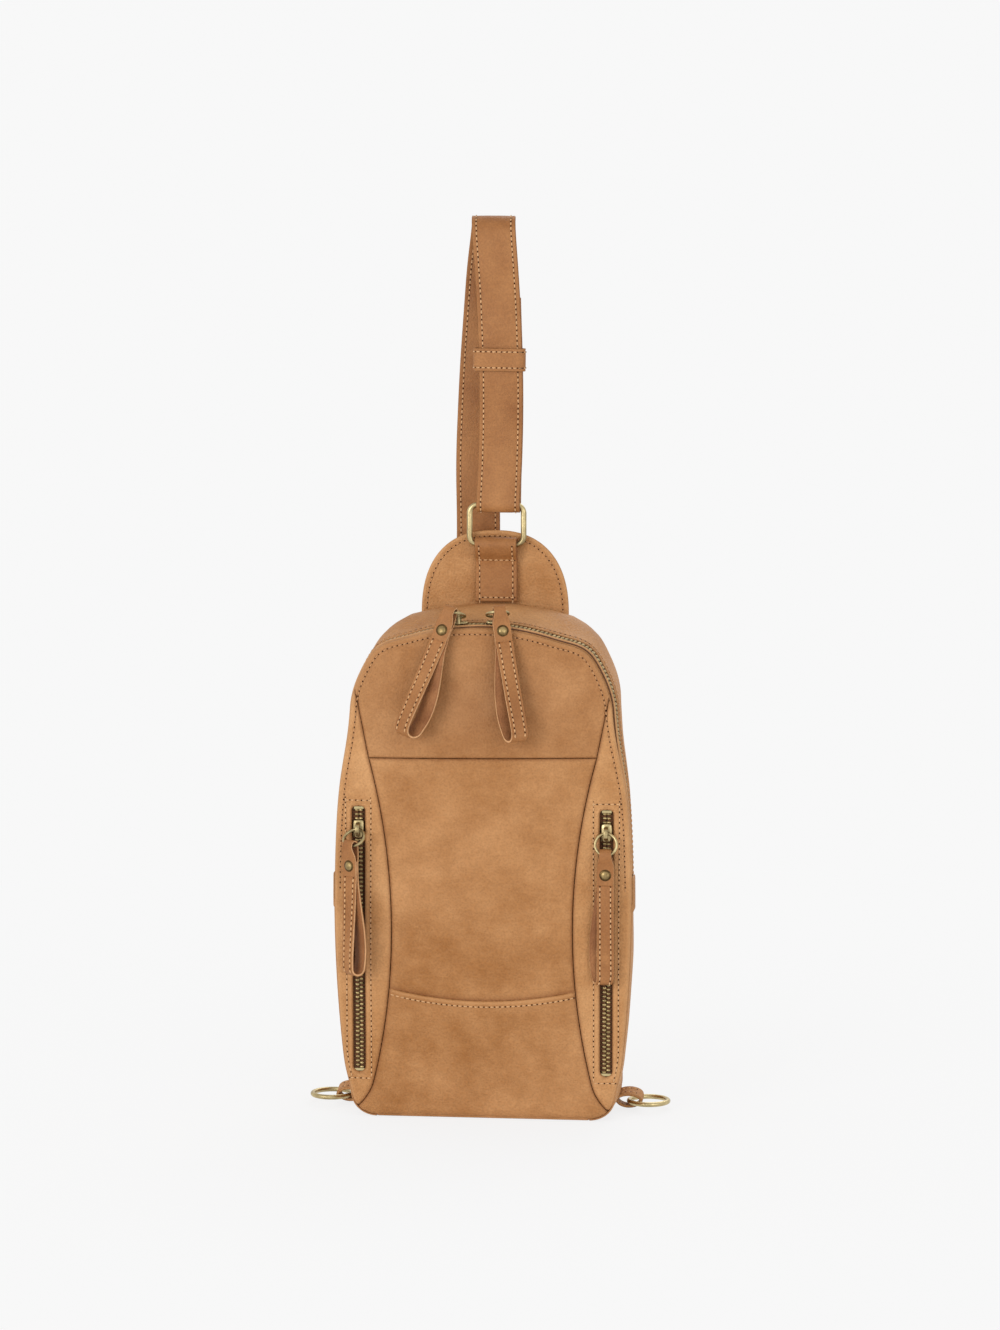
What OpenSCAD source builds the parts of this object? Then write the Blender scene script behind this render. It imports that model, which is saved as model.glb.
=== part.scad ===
// Leather sling bag with an arched zip, two front pocket zips and a clip-on shoulder strap.
// Millimetres. +Z is up, the front faces -Y, and the origin is the middle of the flat base.

/* [Body] */
// Height of the bag from the base to the top of the arch
body_h = 306; // [298:1:314]
// Width of the bag where it is widest
body_w = 183; // [178:1:188]
// Depth of the bag from the front edge to the back panel
body_d = 70; // [66:1:80]
// Height at which the bag is widest
widest_z = 135; // [128:1:142]
// Radius of the long side curves
side_r = 900; // [860:10:960]
// Radius of the arch over the top
top_r = 140; // [135:1:146]
// Radius of the shoulders between sides and arch
shoulder_r = 55; // [48:1:60]
// Radius of the lower corners
corner_r = 18; // [16:0.5:19]
// How far the middle of the front stands out
crown_h = 7; // [4:0.5:8]
// Thickness of the leather panels
leather_t = 1.8; // [1.5:0.1:2]
// Thickness of the lining cloth
lining_t = 0.5; // [0.4:0.1:0.7]
// Thickness of the foam behind the back panel
foam_t = 5; // [3:0.5:7]
// Thickness of the stiff board on the base
board_t = 1.5; // [1:0.1:1.7]

/* [Front seams] */
// Half width between the side seams at their narrowest
waist_half = 55.5; // [52:0.5:58]
// Height of the narrowest place
waist_z = 118; // [110:1:126]
// Radius of the side seams
seam_r = 400; // [380:5:430]
// Height of the seam under the yoke
yoke_z = 224; // [215:1:230]
// Height of the lower pocket seam at its ends
pocket_z = 81; // [72:1:86]
// How far the lower pocket seam hangs in the middle
pocket_sag = 6.5; // [3:0.5:9]
// Half of the room left in a seam
seam_gap = 0.15; // [0.1:0.05:0.3]

/* [Zips] */
// Width of the leather strip in front of the main zip
binding_w = 3.4; // [3:0.1:5]
// Width of the gap that a zip shows in the leather
zip_gap = 9.2; // [9:0.1:10]
// Height at which the main zip ends on each side
zip_end_z = 135; // [128:1:145]
// Width of the two rows of teeth together
chain_w = 6; // [5.6:0.1:6.2]
// Thickness of the teeth
chain_t = 2.6; // [2.2:0.1:2.8]
// Slit between the two rows of teeth
chain_slit = 1.2; // [1.1:0.1:1.4]
// Spacing of the teeth
tooth_pitch = 2.8; // [2.4:0.1:3.2]
// Thickness of the zip tape
tape_t = 0.7; // [0.5:0.1:0.8]
// Width of both zip tapes together
tape_w = 15.6; // [14.6:0.2:16]
// Width of both tapes of a pocket zip together
pocket_tape_w = 11.6; // [11:0.2:11.8]
// Length of the leather covers on the ends of the main zip
end_cover_l = 22; // [16:1:26]
// Thickness of the leather end covers
end_cover_t = 1.4; // [1:0.1:1.8]
// Top of the pocket zip slots
slot_top_z = 193; // [186:1:198]
// Bottom of the pocket zip slots
slot_bottom_z = 28; // [24:1:34]
// Distance of a slot from the middle at its top
slot_top_x = 76; // [75:0.5:77]
// Distance of a slot from the middle at its bottom
slot_bottom_x = 76; // [75:0.5:76.5]

/* [Sliders and pulls] */
// Length of a slider
slider_l = 11.5; // [10:0.5:13]
// Thickness of a slider plate
plate_t = 1.5; // [1.2:0.1:1.6]
// Thickness of the slider side flanges
flange_t = 0.8; // [0.6:0.1:0.9]
// Clearance between a slider and the teeth
slider_clear = 0.3; // [0.25:0.05:0.35]
// Height of the hole in a slider bail
bail_gap = 5.2; // [4.6:0.1:5.6]
// Width of a bail band
bail_w = 1.6; // [1.2:0.1:1.8]
// Thickness of a bail over the ring
bail_t = 1.3; // [1:0.1:1.6]
// Distance of the left main slider from the middle
left_slider_x = 15; // [13:0.5:24]
// Distance of the right main slider from the middle
right_slider_x = 7; // [6:0.5:16]
// Height of the pocket sliders
pocket_slider_z = 179; // [150:1:180]
// Centre line diameter of a pull ring
pull_ring_d = 13.2; // [13:0.1:14]
// Wire of a pull ring
pull_wire = 1.8; // [1.6:0.1:1.9]
// Width of a leather pull
pull_w = 10.5; // [9.5:0.5:12]
// Width of a pull where it holds the ring
pull_neck_w = 5.4; // [5:0.1:5.6]
// Length of a pull below its ring
pull_l = 80; // [70:1:86]
// Thickness of the leather of a pull
pull_t = 1.5; // [1.3:0.1:1.6]
// Opening of the loop at the foot of a pull
pull_loop = 3.6; // [2.4:0.2:3.8]
// Distance of the rivet below the ring
rivet_drop = 12; // [11:0.5:14]
// Diameter of a rivet cap
rivet_d = 7.4; // [6:0.2:8]
// Height of a rivet cap
rivet_h = 1; // [0.8:0.1:1.2]

/* [Tab and strap] */
// Half width of the top tab
tab_half = 46; // [42:1:48]
// Height of the tab above the arch
tab_rise = 50; // [46:1:54]
// How far the tab reaches down the back panel
tab_lap = 34; // [24:1:42]
// Corner radius of the tab
tab_r = 41; // [34:0.5:41.5]
// Thickness of the tab
tab_t = 3; // [2.4:0.1:3.6]
// Height of the lower end of the strap anchor above the arch
anchor_rise = 6; // [2:1:14]
// Width of the strap and its anchor
strap_w = 27; // [25:0.5:27.5]
// Thickness of the strap
strap_t = 2.2; // [1.8:0.1:2.4]
// Height of the top of the strap above the arch
strap_rise = 244; // [224:1:264]
// Radius of the bend at the top of the strap
strap_bend_r = 10; // [9:0.5:14]
// Distance of the turned up strap end below the top of the strap
strap_tail_drop = 50; // [35:1:60]
// Height of the bar that the strap clip hangs from
clip_bar_z = 130; // [120:1:150]
// Length of strap turned up at the clip
strap_turn_l = 42; // [36:1:60]
// Distance of the strap keeper below the turned up strap end
keeper_drop = 38; // [35:1:50]
// Length of the keeper along the strap
keeper_h = 14; // [12:0.5:16]
// Thickness of the keeper
keeper_t = 1.5; // [1.2:0.1:1.8]
// Outer width of the strap ring
ring_w = 37; // [36.5:0.5:40]
// Outer height of the strap ring
ring_h = 28; // [26:0.5:32]
// Wire of the strap ring
ring_wire = 3.5; // [3:0.1:3.8]
// Corner radius of the strap ring, on its centre line
ring_corner_r = 5; // [4.5:0.5:6]
// Height of the lower bar of the strap ring above the arch
ring_rise = 41.7; // [39:0.1:44]

/* [Lower rings] */
// Centre line diameter of a lower ring
low_ring_d = 24; // [22:0.5:27]
// Wire of a lower ring
low_wire = 3; // [2.6:0.1:3.2]
// How far the tab eyes lie inside the widest half of the bag
low_eye_in = 4.5; // [1.5:0.5:6.5]
// Place of the lower rings in the depth of the bag
low_ring_y = 6; // [-6:1:24]
// Height of the lower rings
low_ring_z = 5; // [4.8:0.1:7]
// Width of a lower ring tab
low_tab_w = 9; // [8:0.5:9]
// Thickness of the leather of a lower ring tab
low_tab_t = 1.6; // [1.3:0.1:1.8]

/* [Strap clip] */
// Height of the clip eye between its bars
clip_eye_h = 11; // [10:0.5:14]
// Wire of the clip eye
clip_wire = 3; // [2.6:0.1:3.4]
// Radius of the clip barrel
barrel_r = 4.2; // [3.8:0.1:4.8]
// Length of the clip barrel
barrel_l = 9; // [8:0.5:11]
// Radius of the swivel post
post_r = 1.75; // [1.5:0.05:2]
// Running clearance of the swivel post
post_clear = 0.08; // [0.05:0.01:0.1]
// Centre line radius of the hook
hook_r = 8; // [7.5:0.5:10]
// Wire radius of the hook
hook_wire_r = 2; // [1.8:0.1:2.2]
// Radius of the gate rod
gate_r = 1.4; // [1.2:0.1:1.5]

/* [Hidden] */
$fn = 48;

leather = [0.72, 0.51, 0.33];
cloth = [0.36, 0.27, 0.2];
brass = [0.66, 0.58, 0.4];
foam_colour = [0.85, 0.83, 0.78];

// Heights that follow the top of the arch
tab_top_z = body_h + tab_rise;
tab_foot_z = body_h - tab_lap;
anchor_foot_z = body_h + anchor_rise;
ring_low_z = body_h + ring_rise;
strap_top_z = body_h + strap_rise;
strap_tail_z = strap_top_z - strap_tail_drop;
keeper_z = strap_tail_z - keeper_drop;

// Clearance of soft pieces that lie against each other
soft_clear = 0.05;
// Clearance of pieces that move past each other
move_clear = 0.3;

// Depth positions, front to back
front_edge_y = -body_d / 2;
shell_front_y = front_edge_y + leather_t;
shell_back_y = body_d / 2 - leather_t;
zip_front_y = shell_front_y + binding_w;
zip_rear_y = zip_front_y + zip_gap;
chain_y = (zip_front_y + zip_rear_y) / 2;
back_y = body_d / 2;

// Slider sizes that follow from the teeth
slider_half = chain_w / 2 + slider_clear + flange_t;
slider_in = chain_t / 2 + slider_clear;
slider_top = slider_in + plate_t;
bail_mid = slider_top + bail_gap / 2;
bail_span = 5.4;
web_w = chain_slit - 2 * 0.25;
tape_slot = tape_t / 2 + 0.4;

// The chain of the main zip lies just under the leather
chain_inset = leather_t + soft_clear + tape_t / 2;
slider_back_inset = chain_inset + slider_top;

// Angles at which the pull rings and pulls hang: yaw and turn are about the vertical, swing is
// forward from hanging, lean is sideways and tilt is out of the front
pull_ring_r = pull_ring_d / 2;
main_swing = 110;
main_tilt = 12;
left_main_yaw = -18;
left_main_lean = 19;
right_main_yaw = 16;
right_main_lean = -8.6;
left_pocket_yaw = -20;
left_pocket_turn = -33;
left_pocket_swing = 48;
right_pocket_swing = 16;

function mix(a, b, t) = a + (b - a) * t;
function direction(a) = [cos(a), sin(a)];
function reversed(p) = [for (i = [len(p) - 1:-1:0]) p[i]];
function mirrored(p) = [for (i = [len(p) - 1:-1:0]) [-p[i][0], p[i][1]]];
function without_first(p) = [for (i = [1:len(p) - 1]) p[i]];
function without_last(p) = [for (i = [0:len(p) - 2]) p[i]];
function bearing(from, to) = atan2(to[1] - from[1], to[0] - from[0]);

// Points of an arc; first = 1 leaves out its starting point
function arc(c, r, a0, a1, n, first = 0) = [for (i = [first:n]) c + r * direction(mix(a0, a1, i / n))];

// Crossing point of two circles, to the left (+1) or right (-1) of the line from c0 to c1
function circle_cross(c0, r0, c1, r1, side) =
    let (d = c1 - c0)
    let (l = norm(d))
    let (a = (r0 * r0 - r1 * r1 + l * l) / (2 * l))
    let (h = sqrt(r0 * r0 - a * a))
    c0 + d * a / l + side * h * [-d[1], d[0]] / l;

// Centres and end angles of the arcs that make half of the outline
side_c = [body_w / 2 - side_r, widest_z];
top_c = [0, body_h - top_r];
shoulder_c = circle_cross(side_c, side_r - shoulder_r, top_c, top_r - shoulder_r, 1);
corner_c = [side_c[0] + sqrt(pow(side_r - corner_r, 2) - pow(widest_z - corner_r, 2)), corner_r];
side_a0 = bearing(side_c, corner_c);
side_a1 = bearing(side_c, shoulder_c);
top_a = bearing(top_c, shoulder_c);
zip_a = asin((zip_end_z - widest_z) / side_r);

// Right half of the outline, inset by m: below the end of the main zip, and above it
function lower_edge(m) = concat(
    arc(corner_c, corner_r - m, -90, side_a0, 6),
    arc(side_c, side_r - m, side_a0, zip_a, 8, 1)
);
function upper_edge(m) = concat(
    arc(side_c, side_r - m, zip_a, side_a1, 8),
    arc(shoulder_c, shoulder_r - m, side_a1, top_a, 6, 1),
    arc(top_c, top_r - m, top_a, 90, 10, 1)
);
function arch(m) = concat(upper_edge(m), without_first(mirrored(upper_edge(m))));
function right_edge(m) = concat(lower_edge(m), without_first(upper_edge(m)));
function outline(m) = concat(right_edge(m), without_first(mirrored(right_edge(m))));

// Side seam of the front, and the outer edge of the front, as half widths at a height
seam_c = [waist_half + seam_r, waist_z];
function seam_x(z) = seam_c[0] - sqrt(seam_r * seam_r - pow(z - waist_z, 2));
side_low_z = side_c[1] + side_r * sin(side_a0);
function edge_x(z) = z < side_low_z
    ? corner_c[0] + sqrt(corner_r * corner_r - pow(z - corner_c[1], 2))
    : side_c[0] + sqrt(side_r * side_r - pow(z - widest_z, 2));
seam_top = circle_cross(side_c, side_r, seam_c, seam_r, 1);

// A side seam ends on the lower corner, or on the side above it where the corner is out of reach
function circles_meet(c0, r0, c1, r1) = norm(c1 - c0) <= r0 + r1 && norm(c1 - c0) >= abs(r1 - r0);
corner_foot = circles_meet(corner_c, corner_r, seam_c, seam_r)
    ? circle_cross(corner_c, corner_r, seam_c, seam_r, -1)
    : [0, body_h];
seam_foot = corner_foot[1] <= side_low_z ? corner_foot : circle_cross(side_c, side_r, seam_c, seam_r, -1);
front_foot_z = min(seam_foot[1], leather_t);

// Depth of the crowned front at a place
function front_y(x, z) =
    front_edge_y - crown_h * cos(90 * min(abs(x) / (body_w / 2), 1)) * sin(180 * z / body_h);

// Solid between two depths, cut from an outline in the XZ plane
module plate(points, y0, y1) {
    translate([0, y1, 0])
        rotate([90, 0, 0])
            linear_extrude(y1 - y0)
                polygon(points);
}

// Band between two inset paths
module band(outer, inner, y0, y1) {
    plate(concat(outer, reversed(inner)), y0, y1);
}

function quad(a, b, c, d) = [[a, b, c], [a, c, d]];

// Crowned piece of the front: place(i, j) gives [x, z] on a grid of nu by nv cells
module front_patch(place, nu, nv) {
    layer = (nu + 1) * (nv + 1);
    at = function (i, j, k) k * layer + i * (nv + 1) + j;
    points = [
        for (k = [0, 1]) for (i = [0:nu]) for (j = [0:nv])
            let (p = place(i, j)) [p[0], front_y(p[0], p[1]) + k * leather_t, p[1]]
    ];
    fronts = [
        for (i = [0:nu - 1]) for (j = [0:nv - 1])
            each quad(at(i, j, 0), at(i, j + 1, 0), at(i + 1, j + 1, 0), at(i + 1, j, 0))
    ];
    backs = [
        for (i = [0:nu - 1]) for (j = [0:nv - 1])
            each quad(at(i + 1, j, 1), at(i + 1, j + 1, 1), at(i, j + 1, 1), at(i, j, 1))
    ];
    low_high = [
        for (i = [0:nu - 1]) each concat(
            quad(at(i, 0, 0), at(i + 1, 0, 0), at(i + 1, 0, 1), at(i, 0, 1)),
            quad(at(i + 1, nv, 0), at(i, nv, 0), at(i, nv, 1), at(i + 1, nv, 1))
        )
    ];
    ends = [
        for (j = [0:nv - 1]) each concat(
            quad(at(nu, j, 0), at(nu, j + 1, 0), at(nu, j + 1, 1), at(nu, j, 1)),
            quad(at(0, j + 1, 0), at(0, j, 0), at(0, j, 1), at(0, j + 1, 1))
        )
    ];
    polyhedron(points, concat(fronts, backs, low_high, ends), convexity = 6);
}

// Front panels
yoke_half = concat(
    arc(side_c, side_r, bearing(side_c, seam_top), side_a1, 3),
    arc(shoulder_c, shoulder_r, side_a1, top_a, 5, 1),
    arc(top_c, top_r, top_a, 90, 7, 1)
);
yoke_edge = reversed(concat(yoke_half, without_first(mirrored(yoke_half))));
yoke_cells = len(yoke_edge) - 1;
yoke_rows = 5;

module front_yoke() {
    foot_x = seam_x(yoke_z);
    foot_z = yoke_z + seam_gap;
    color(leather)
        front_patch(
            function (i, j)
                let (v = j / yoke_rows)
                let (p = mix([mix(-foot_x, foot_x, i / yoke_cells), foot_z], yoke_edge[i], v))
                let (end = mix([foot_x, foot_z], seam_top, v))
                [p[0] * (seam_x(end[1]) - seam_gap) / end[0], p[1]],
            yoke_cells, yoke_rows
        );
}

panel_cells = 10;
function pocket_seam_z(u) = pocket_z - pocket_sag * (1 - u * u);

module front_centre_panel() {
    color(leather)
        front_patch(
            function (i, j)
                let (u = 2 * i / panel_cells - 1)
                let (z = mix(pocket_seam_z(u) + seam_gap, yoke_z - seam_gap, j / panel_cells))
                [u * (seam_x(z) - seam_gap), z],
            panel_cells, panel_cells
        );
}

module front_lower_panel() {
    color(leather)
        front_patch(
            function (i, j)
                let (u = 2 * i / panel_cells - 1)
                let (z = mix(front_foot_z, pocket_seam_z(u) - seam_gap, j / panel_cells))
                [u * min(seam_x(z) - seam_gap, edge_x(z)), z],
            panel_cells, panel_cells
        );
}

side_rows = 24;
side_cells = 4;
side_end = 3;

// Slot of a pocket zip, widened by m all round
function slot_points(m) =
    let (w = zip_gap / 2 + m)
    [
        [slot_bottom_x - w, slot_bottom_z - m],
        [slot_bottom_x + w, slot_bottom_z - m],
        [slot_top_x + w, slot_top_z + m],
        [slot_top_x - w, slot_top_z + m]
    ];

module right_side_panel() {
    color(leather)
        difference() {
            front_patch(
                function (i, j)
                    let (z = mix(seam_foot[1] + side_end, seam_top[1] - side_end, j / side_rows))
                    [mix(seam_x(z) + seam_gap, edge_x(z), i / side_cells), z],
                side_cells, side_rows
            );
            plate(slot_points(0), front_edge_y - crown_h - leather_t, 0);
        }
}

module left_side_panel() {
    mirror([1, 0, 0])
        right_side_panel();
}

// Gusset, base and back
module front_binding() {
    color(leather)
        band(arch(0), arch(leather_t), shell_front_y, zip_front_y);
}

module right_gusset() {
    color(leather)
        band(lower_edge(0), lower_edge(leather_t), shell_front_y, shell_back_y);
}

module left_gusset() {
    mirror([1, 0, 0])
        right_gusset();
}

module top_gusset() {
    color(leather)
        band(arch(0), arch(leather_t), zip_rear_y, shell_back_y);
}

module base_panel() {
    color(leather)
        translate([-corner_c[0], shell_front_y, 0])
            cube([2 * corner_c[0], shell_back_y - shell_front_y, leather_t]);
}

module back_panel() {
    color(leather)
        plate(outline(0), shell_back_y, back_y);
}

// Depth of the pocket zip chains, just behind the side panels
function chain_pocket_y() = front_edge_y + leather_t + soft_clear + tape_t / 2;

// Lining, foam and board inside
lining_inset = leather_t + board_t + 3 * soft_clear;
foam_front_y = shell_back_y - foam_t;
lining_rear_y = foam_front_y - soft_clear;
slot_lining_y = chain_pocket_y() + slider_top + move_clear;
front_lining_y = slot_lining_y + lining_t + soft_clear;
front_lining_inset = slider_back_inset + move_clear;

module back_foam() {
    color(foam_colour)
        plate(outline(leather_t + move_clear), foam_front_y, shell_back_y);
}

module base_board() {
    color(cloth)
        translate([-corner_c[0], shell_front_y + move_clear, leather_t + soft_clear])
            cube([2 * corner_c[0], lining_rear_y - lining_t - shell_front_y - 2 * move_clear, board_t]);
}

module front_lining() {
    color(cloth)
        plate(outline(front_lining_inset), front_lining_y, front_lining_y + lining_t);
}

module back_lining() {
    color(cloth)
        plate(outline(leather_t + move_clear), lining_rear_y - lining_t, lining_rear_y);
}

module gusset_lining() {
    color(cloth)
        difference() {
            plate(outline(lining_inset), zip_rear_y + move_clear, lining_rear_y - lining_t - soft_clear);
            plate(outline(lining_inset + lining_t), zip_rear_y, lining_rear_y);
        }
}

// Pouch behind a pocket zip: its sewn rim sits on the tapes
pouch_in = 24;

module right_pocket_lining() {
    rim = pocket_tape_w / 2 - zip_gap / 2;
    tape_back_y = chain_pocket_y() + tape_t / 2 + soft_clear;
    color(cloth)
        union() {
            difference() {
                plate(slot_points(rim), tape_back_y, slot_lining_y + lining_t);
                plate(slot_points(rim - 1.5 * lining_t), tape_back_y - 1, slot_lining_y);
            }
            plate(
                [
                    for (p = slot_points(rim))
                        p[0] < (p[1] > pocket_z ? slot_top_x : slot_bottom_x) ? p - [pouch_in, 0] : p
                ],
                slot_lining_y, slot_lining_y + lining_t
            );
        }
}

module left_pocket_lining() {
    mirror([1, 0, 0])
        right_pocket_lining();
}

// Main zip over the arch
module main_zip_front_tape() {
    color(cloth)
        band(
            arch(chain_inset - tape_t / 2), arch(chain_inset + tape_t / 2),
            chain_y - tape_w / 2, chain_y - chain_w / 2
        );
}

module main_zip_rear_tape() {
    color(cloth)
        band(
            arch(chain_inset - tape_t / 2), arch(chain_inset + tape_t / 2),
            chain_y + chain_w / 2, chain_y + tape_w / 2
        );
}

// Teeth along an arc: each stands out over half of its pitch
tooth_root = 0.5;
function tooth_count(r, a0, a1) = max(2, round(r * (a1 - a0) * PI / 180 / tooth_pitch));
function arc_teeth(c, r, a0, a1) =
    let (n = tooth_count(r, a0, a1))
    let (high = r + chain_t / 2)
    let (low = r + tooth_root)
    [
        for (k = [0:n - 1]) each [
            c + high * direction(mix(a0, a1, k / n)),
            c + high * direction(mix(a0, a1, (k + 0.5) / n)),
            c + low * direction(mix(a0, a1, (k + 0.5) / n)),
            c + low * direction(mix(a0, a1, (k + 1) / n))
        ]
    ];
function tooth_half() = concat(
    arc_teeth(side_c, side_r - chain_inset, zip_a, side_a1),
    arc_teeth(shoulder_c, shoulder_r - chain_inset, side_a1, top_a),
    arc_teeth(top_c, top_r - chain_inset, top_a, 90)
);

module main_teeth(y0, y1) {
    color(brass)
        band(
            concat(without_last(tooth_half()), without_first(mirrored(tooth_half()))),
            arch(chain_inset + chain_t / 2), y0, y1
        );
}

module main_zip_front_teeth() {
    main_teeth(chain_y - chain_w / 2, chain_y - chain_slit / 2);
}

module main_zip_rear_teeth() {
    main_teeth(chain_y + chain_slit / 2, chain_y + chain_w / 2);
}

module main_zip_end_covers() {
    a1 = zip_a + 0.75 * end_cover_l / side_r * 180 / PI;
    a0 = zip_a - 0.25 * end_cover_l / side_r * 180 / PI;
    cover = concat(
        arc(side_c, side_r + end_cover_t + soft_clear, a0, a1, 4),
        arc(side_c, side_r + soft_clear, a1, a0, 4)
    );
    color(leather)
        for (side = [0, 1])
            mirror([side, 0, 0])
                plate(cover, zip_front_y - 1.5, zip_rear_y + 1.5);
}

// Pocket zips: local X runs up the zip, local Z points out of the front
slot_lean = atan2(slot_top_x - slot_bottom_x, slot_top_z - slot_bottom_z);
slot_l = norm([slot_top_x - slot_bottom_x, slot_top_z - slot_bottom_z]);

module on_pocket_zip() {
    translate([slot_bottom_x, chain_pocket_y(), slot_bottom_z])
        rotate([0, slot_lean, 0])
            rotate([90, 0, 0])
                rotate([0, 0, 90])
                    children();
}

module box(x0, x1, y0, y1, z0, z1) {
    translate([x0, y0, z0])
        cube([x1 - x0, y1 - y0, z1 - z0]);
}

module right_zip_tapes() {
    over = pocket_tape_w / 2 - zip_gap / 2;
    color(cloth)
        on_pocket_zip()
            for (side = [0, 1])
                mirror([0, side, 0])
                    box(-over, slot_l + over, chain_w / 2, pocket_tape_w / 2, -tape_t / 2, tape_t / 2);
}

module left_zip_tapes() {
    mirror([1, 0, 0])
        right_zip_tapes();
}

// Row of straight teeth standing on a cord
stop_l = 2.5;
module right_zip_teeth() {
    n = floor((slot_l - 2 * stop_l) / tooth_pitch);
    start = (slot_l - n * tooth_pitch) / 2;
    cord = chain_w / 2 - 0.9;
    row = concat(
        [[start, chain_w / 2]],
        [
            for (k = [0:n - 1]) each [
                [start + k * tooth_pitch, chain_slit / 2],
                [start + (k + 0.55) * tooth_pitch, chain_slit / 2],
                [start + (k + 0.55) * tooth_pitch, cord],
                [start + (k + 1) * tooth_pitch, cord]
            ]
        ],
        [[start + n * tooth_pitch, chain_w / 2]]
    );
    color(brass)
        on_pocket_zip()
            for (side = [0, 1])
                mirror([0, side, 0])
                    translate([0, 0, -chain_t / 2])
                        linear_extrude(chain_t)
                            polygon(row);
}

module left_zip_teeth() {
    mirror([1, 0, 0])
        right_zip_teeth();
}

module pocket_zip_stops() {
    stop_half = chain_w / 2 - soft_clear;
    color(brass)
        for (side = [0, 1])
            mirror([side, 0, 0])
                on_pocket_zip()
                    for (x = [0.15 * stop_l, slot_l - 0.75 * stop_l])
                        box(x, x + 0.6 * stop_l, -stop_half, stop_half, -chain_t / 2, chain_t / 2);
}

// Slider: local X along the zip, local Z outwards; the bail hole runs across the zip
// with bail_turn 0 and along it with bail_turn 90
module slider(bail_turn) {
    bail_half = bail_span / 2 + bail_t;
    color(brass)
        union() {
            for (z = [slider_in, -slider_top])
                translate([0, 0, z])
                    linear_extrude(plate_t)
                        intersection() {
                            square([slider_l, 2 * slider_half], center = true);
                            circle(r = slider_l / 2 + 0.6);
                        }
            for (side = [0, 1])
                for (under = [0, 1])
                    mirror([0, side, 0])
                        mirror([0, 0, under])
                            box(
                                -slider_l / 3, slider_l / 3,
                                slider_half - flange_t, slider_half - 0.05, tape_slot, slider_top - 0.1
                            );
            box(0.15 * slider_l, 0.4 * slider_l, -web_w / 2, web_w / 2, -slider_in - 0.5, slider_in + 0.5);
            rotate([0, 0, bail_turn])
                translate([0, bail_w / 2, slider_top - 0.2])
                    rotate([90, 0, 0])
                        linear_extrude(bail_w)
                            difference() {
                                intersection() {
                                    translate([-bail_half, 0])
                                        square([2 * bail_half, bail_gap + bail_t + 0.2]);
                                    circle(r = bail_gap + bail_t + 0.4);
                                }
                                translate([-bail_span / 2, -1])
                                    square([bail_span, bail_gap + 1.2]);
                            }
        }
}

// Place on the main zip, at a distance x from the middle
chain_r = top_r - chain_inset;
module on_main_zip(x) {
    translate([0, chain_y, top_c[1]])
        rotate([0, asin(x / chain_r), 0])
            translate([0, 0, chain_r])
                children();
}

module left_main_slider() {
    on_main_zip(-left_slider_x)
        rotate([0, 0, 180])
            slider(90);
}

module right_main_slider() {
    on_main_zip(right_slider_x)
        slider(90);
}

pocket_slider_s = (pocket_slider_z - slot_bottom_z) / cos(slot_lean);

module right_pocket_slider() {
    on_pocket_zip()
        translate([pocket_slider_s, 0, 0])
            slider(0);
}

module left_pocket_slider() {
    mirror([1, 0, 0])
        right_pocket_slider();
}

// Middle of a bail hole, where a pull ring turns
function main_bail(x) =
    let (a = asin(x / chain_r))
    [(chain_r + bail_mid) * sin(a), chain_y, top_c[1] + (chain_r + bail_mid) * cos(a)];
function pocket_bail(side) = [
    side * (slot_bottom_x + pocket_slider_s * sin(slot_lean)),
    chain_pocket_y() - bail_mid,
    pocket_slider_z
];

// Frame of a ring: its middle lies pull_ring_r from the bail, swung forward from hanging
module on_ring(bail, yaw, swing) {
    translate(bail)
        rotate([0, 0, yaw])
            rotate([-swing, 0, 0])
                children();
}

module pull_ring(bail, yaw, swing) {
    color(brass)
        on_ring(bail, yaw, swing)
            translate([0, 0, -pull_ring_r])
                rotate([90, 0, 0])
                    rotate_extrude()
                        translate([pull_ring_r, 0])
                            circle(d = pull_wire, $fn = 24);
}

// Far side of a ring, where the eye of a pull hangs
function ring_far(bail, yaw, swing) = bail + pull_ring_d * [
    sin(swing) * sin(yaw),
    -sin(swing) * cos(yaw),
    -cos(swing)
];

// Frame of a pull at its eye: it leans sideways, faces its yaw and stands off the front
module on_pull(eye, yaw, lean, tilt) {
    translate(eye)
        rotate([0, lean, 0])
            rotate([0, 0, yaw])
                rotate([-tilt, 0, 0])
                    children();
}

// Side profile of a pull, as half thicknesses from the eye down to the loop
eye_high = 3.4;
eye_low = -2.8;
eye_half = 2.4;
loop_top = -2 * rivet_drop + 2;
loop_l = pull_l + loop_top - pull_t;
eye_side = [for (a = [0:15:180]) [eye_half * sin(a), mix(eye_high, eye_low, (1 - cos(a)) / 2)]];
loop_side = [
    for (a = [0:10:180])
        [pull_loop / 2 * 1.08 * sin(a) * pow(sin(a / 2), 1.5), loop_top - loop_l * (1 - cos(a)) / 2]
];
pull_side = concat(
    [
        for (i = [0:len(eye_side) - 1])
            eye_side[i] + pull_t * direction(mix(90, -22, i / (len(eye_side) - 1)))
    ],
    [[pull_t, eye_low - 2.5 * pull_t]],
    [
        for (i = [0:len(loop_side) - 1])
            loop_side[i] + pull_t * [1, -pow(i / (len(loop_side) - 1), 4)]
    ]
);

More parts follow.
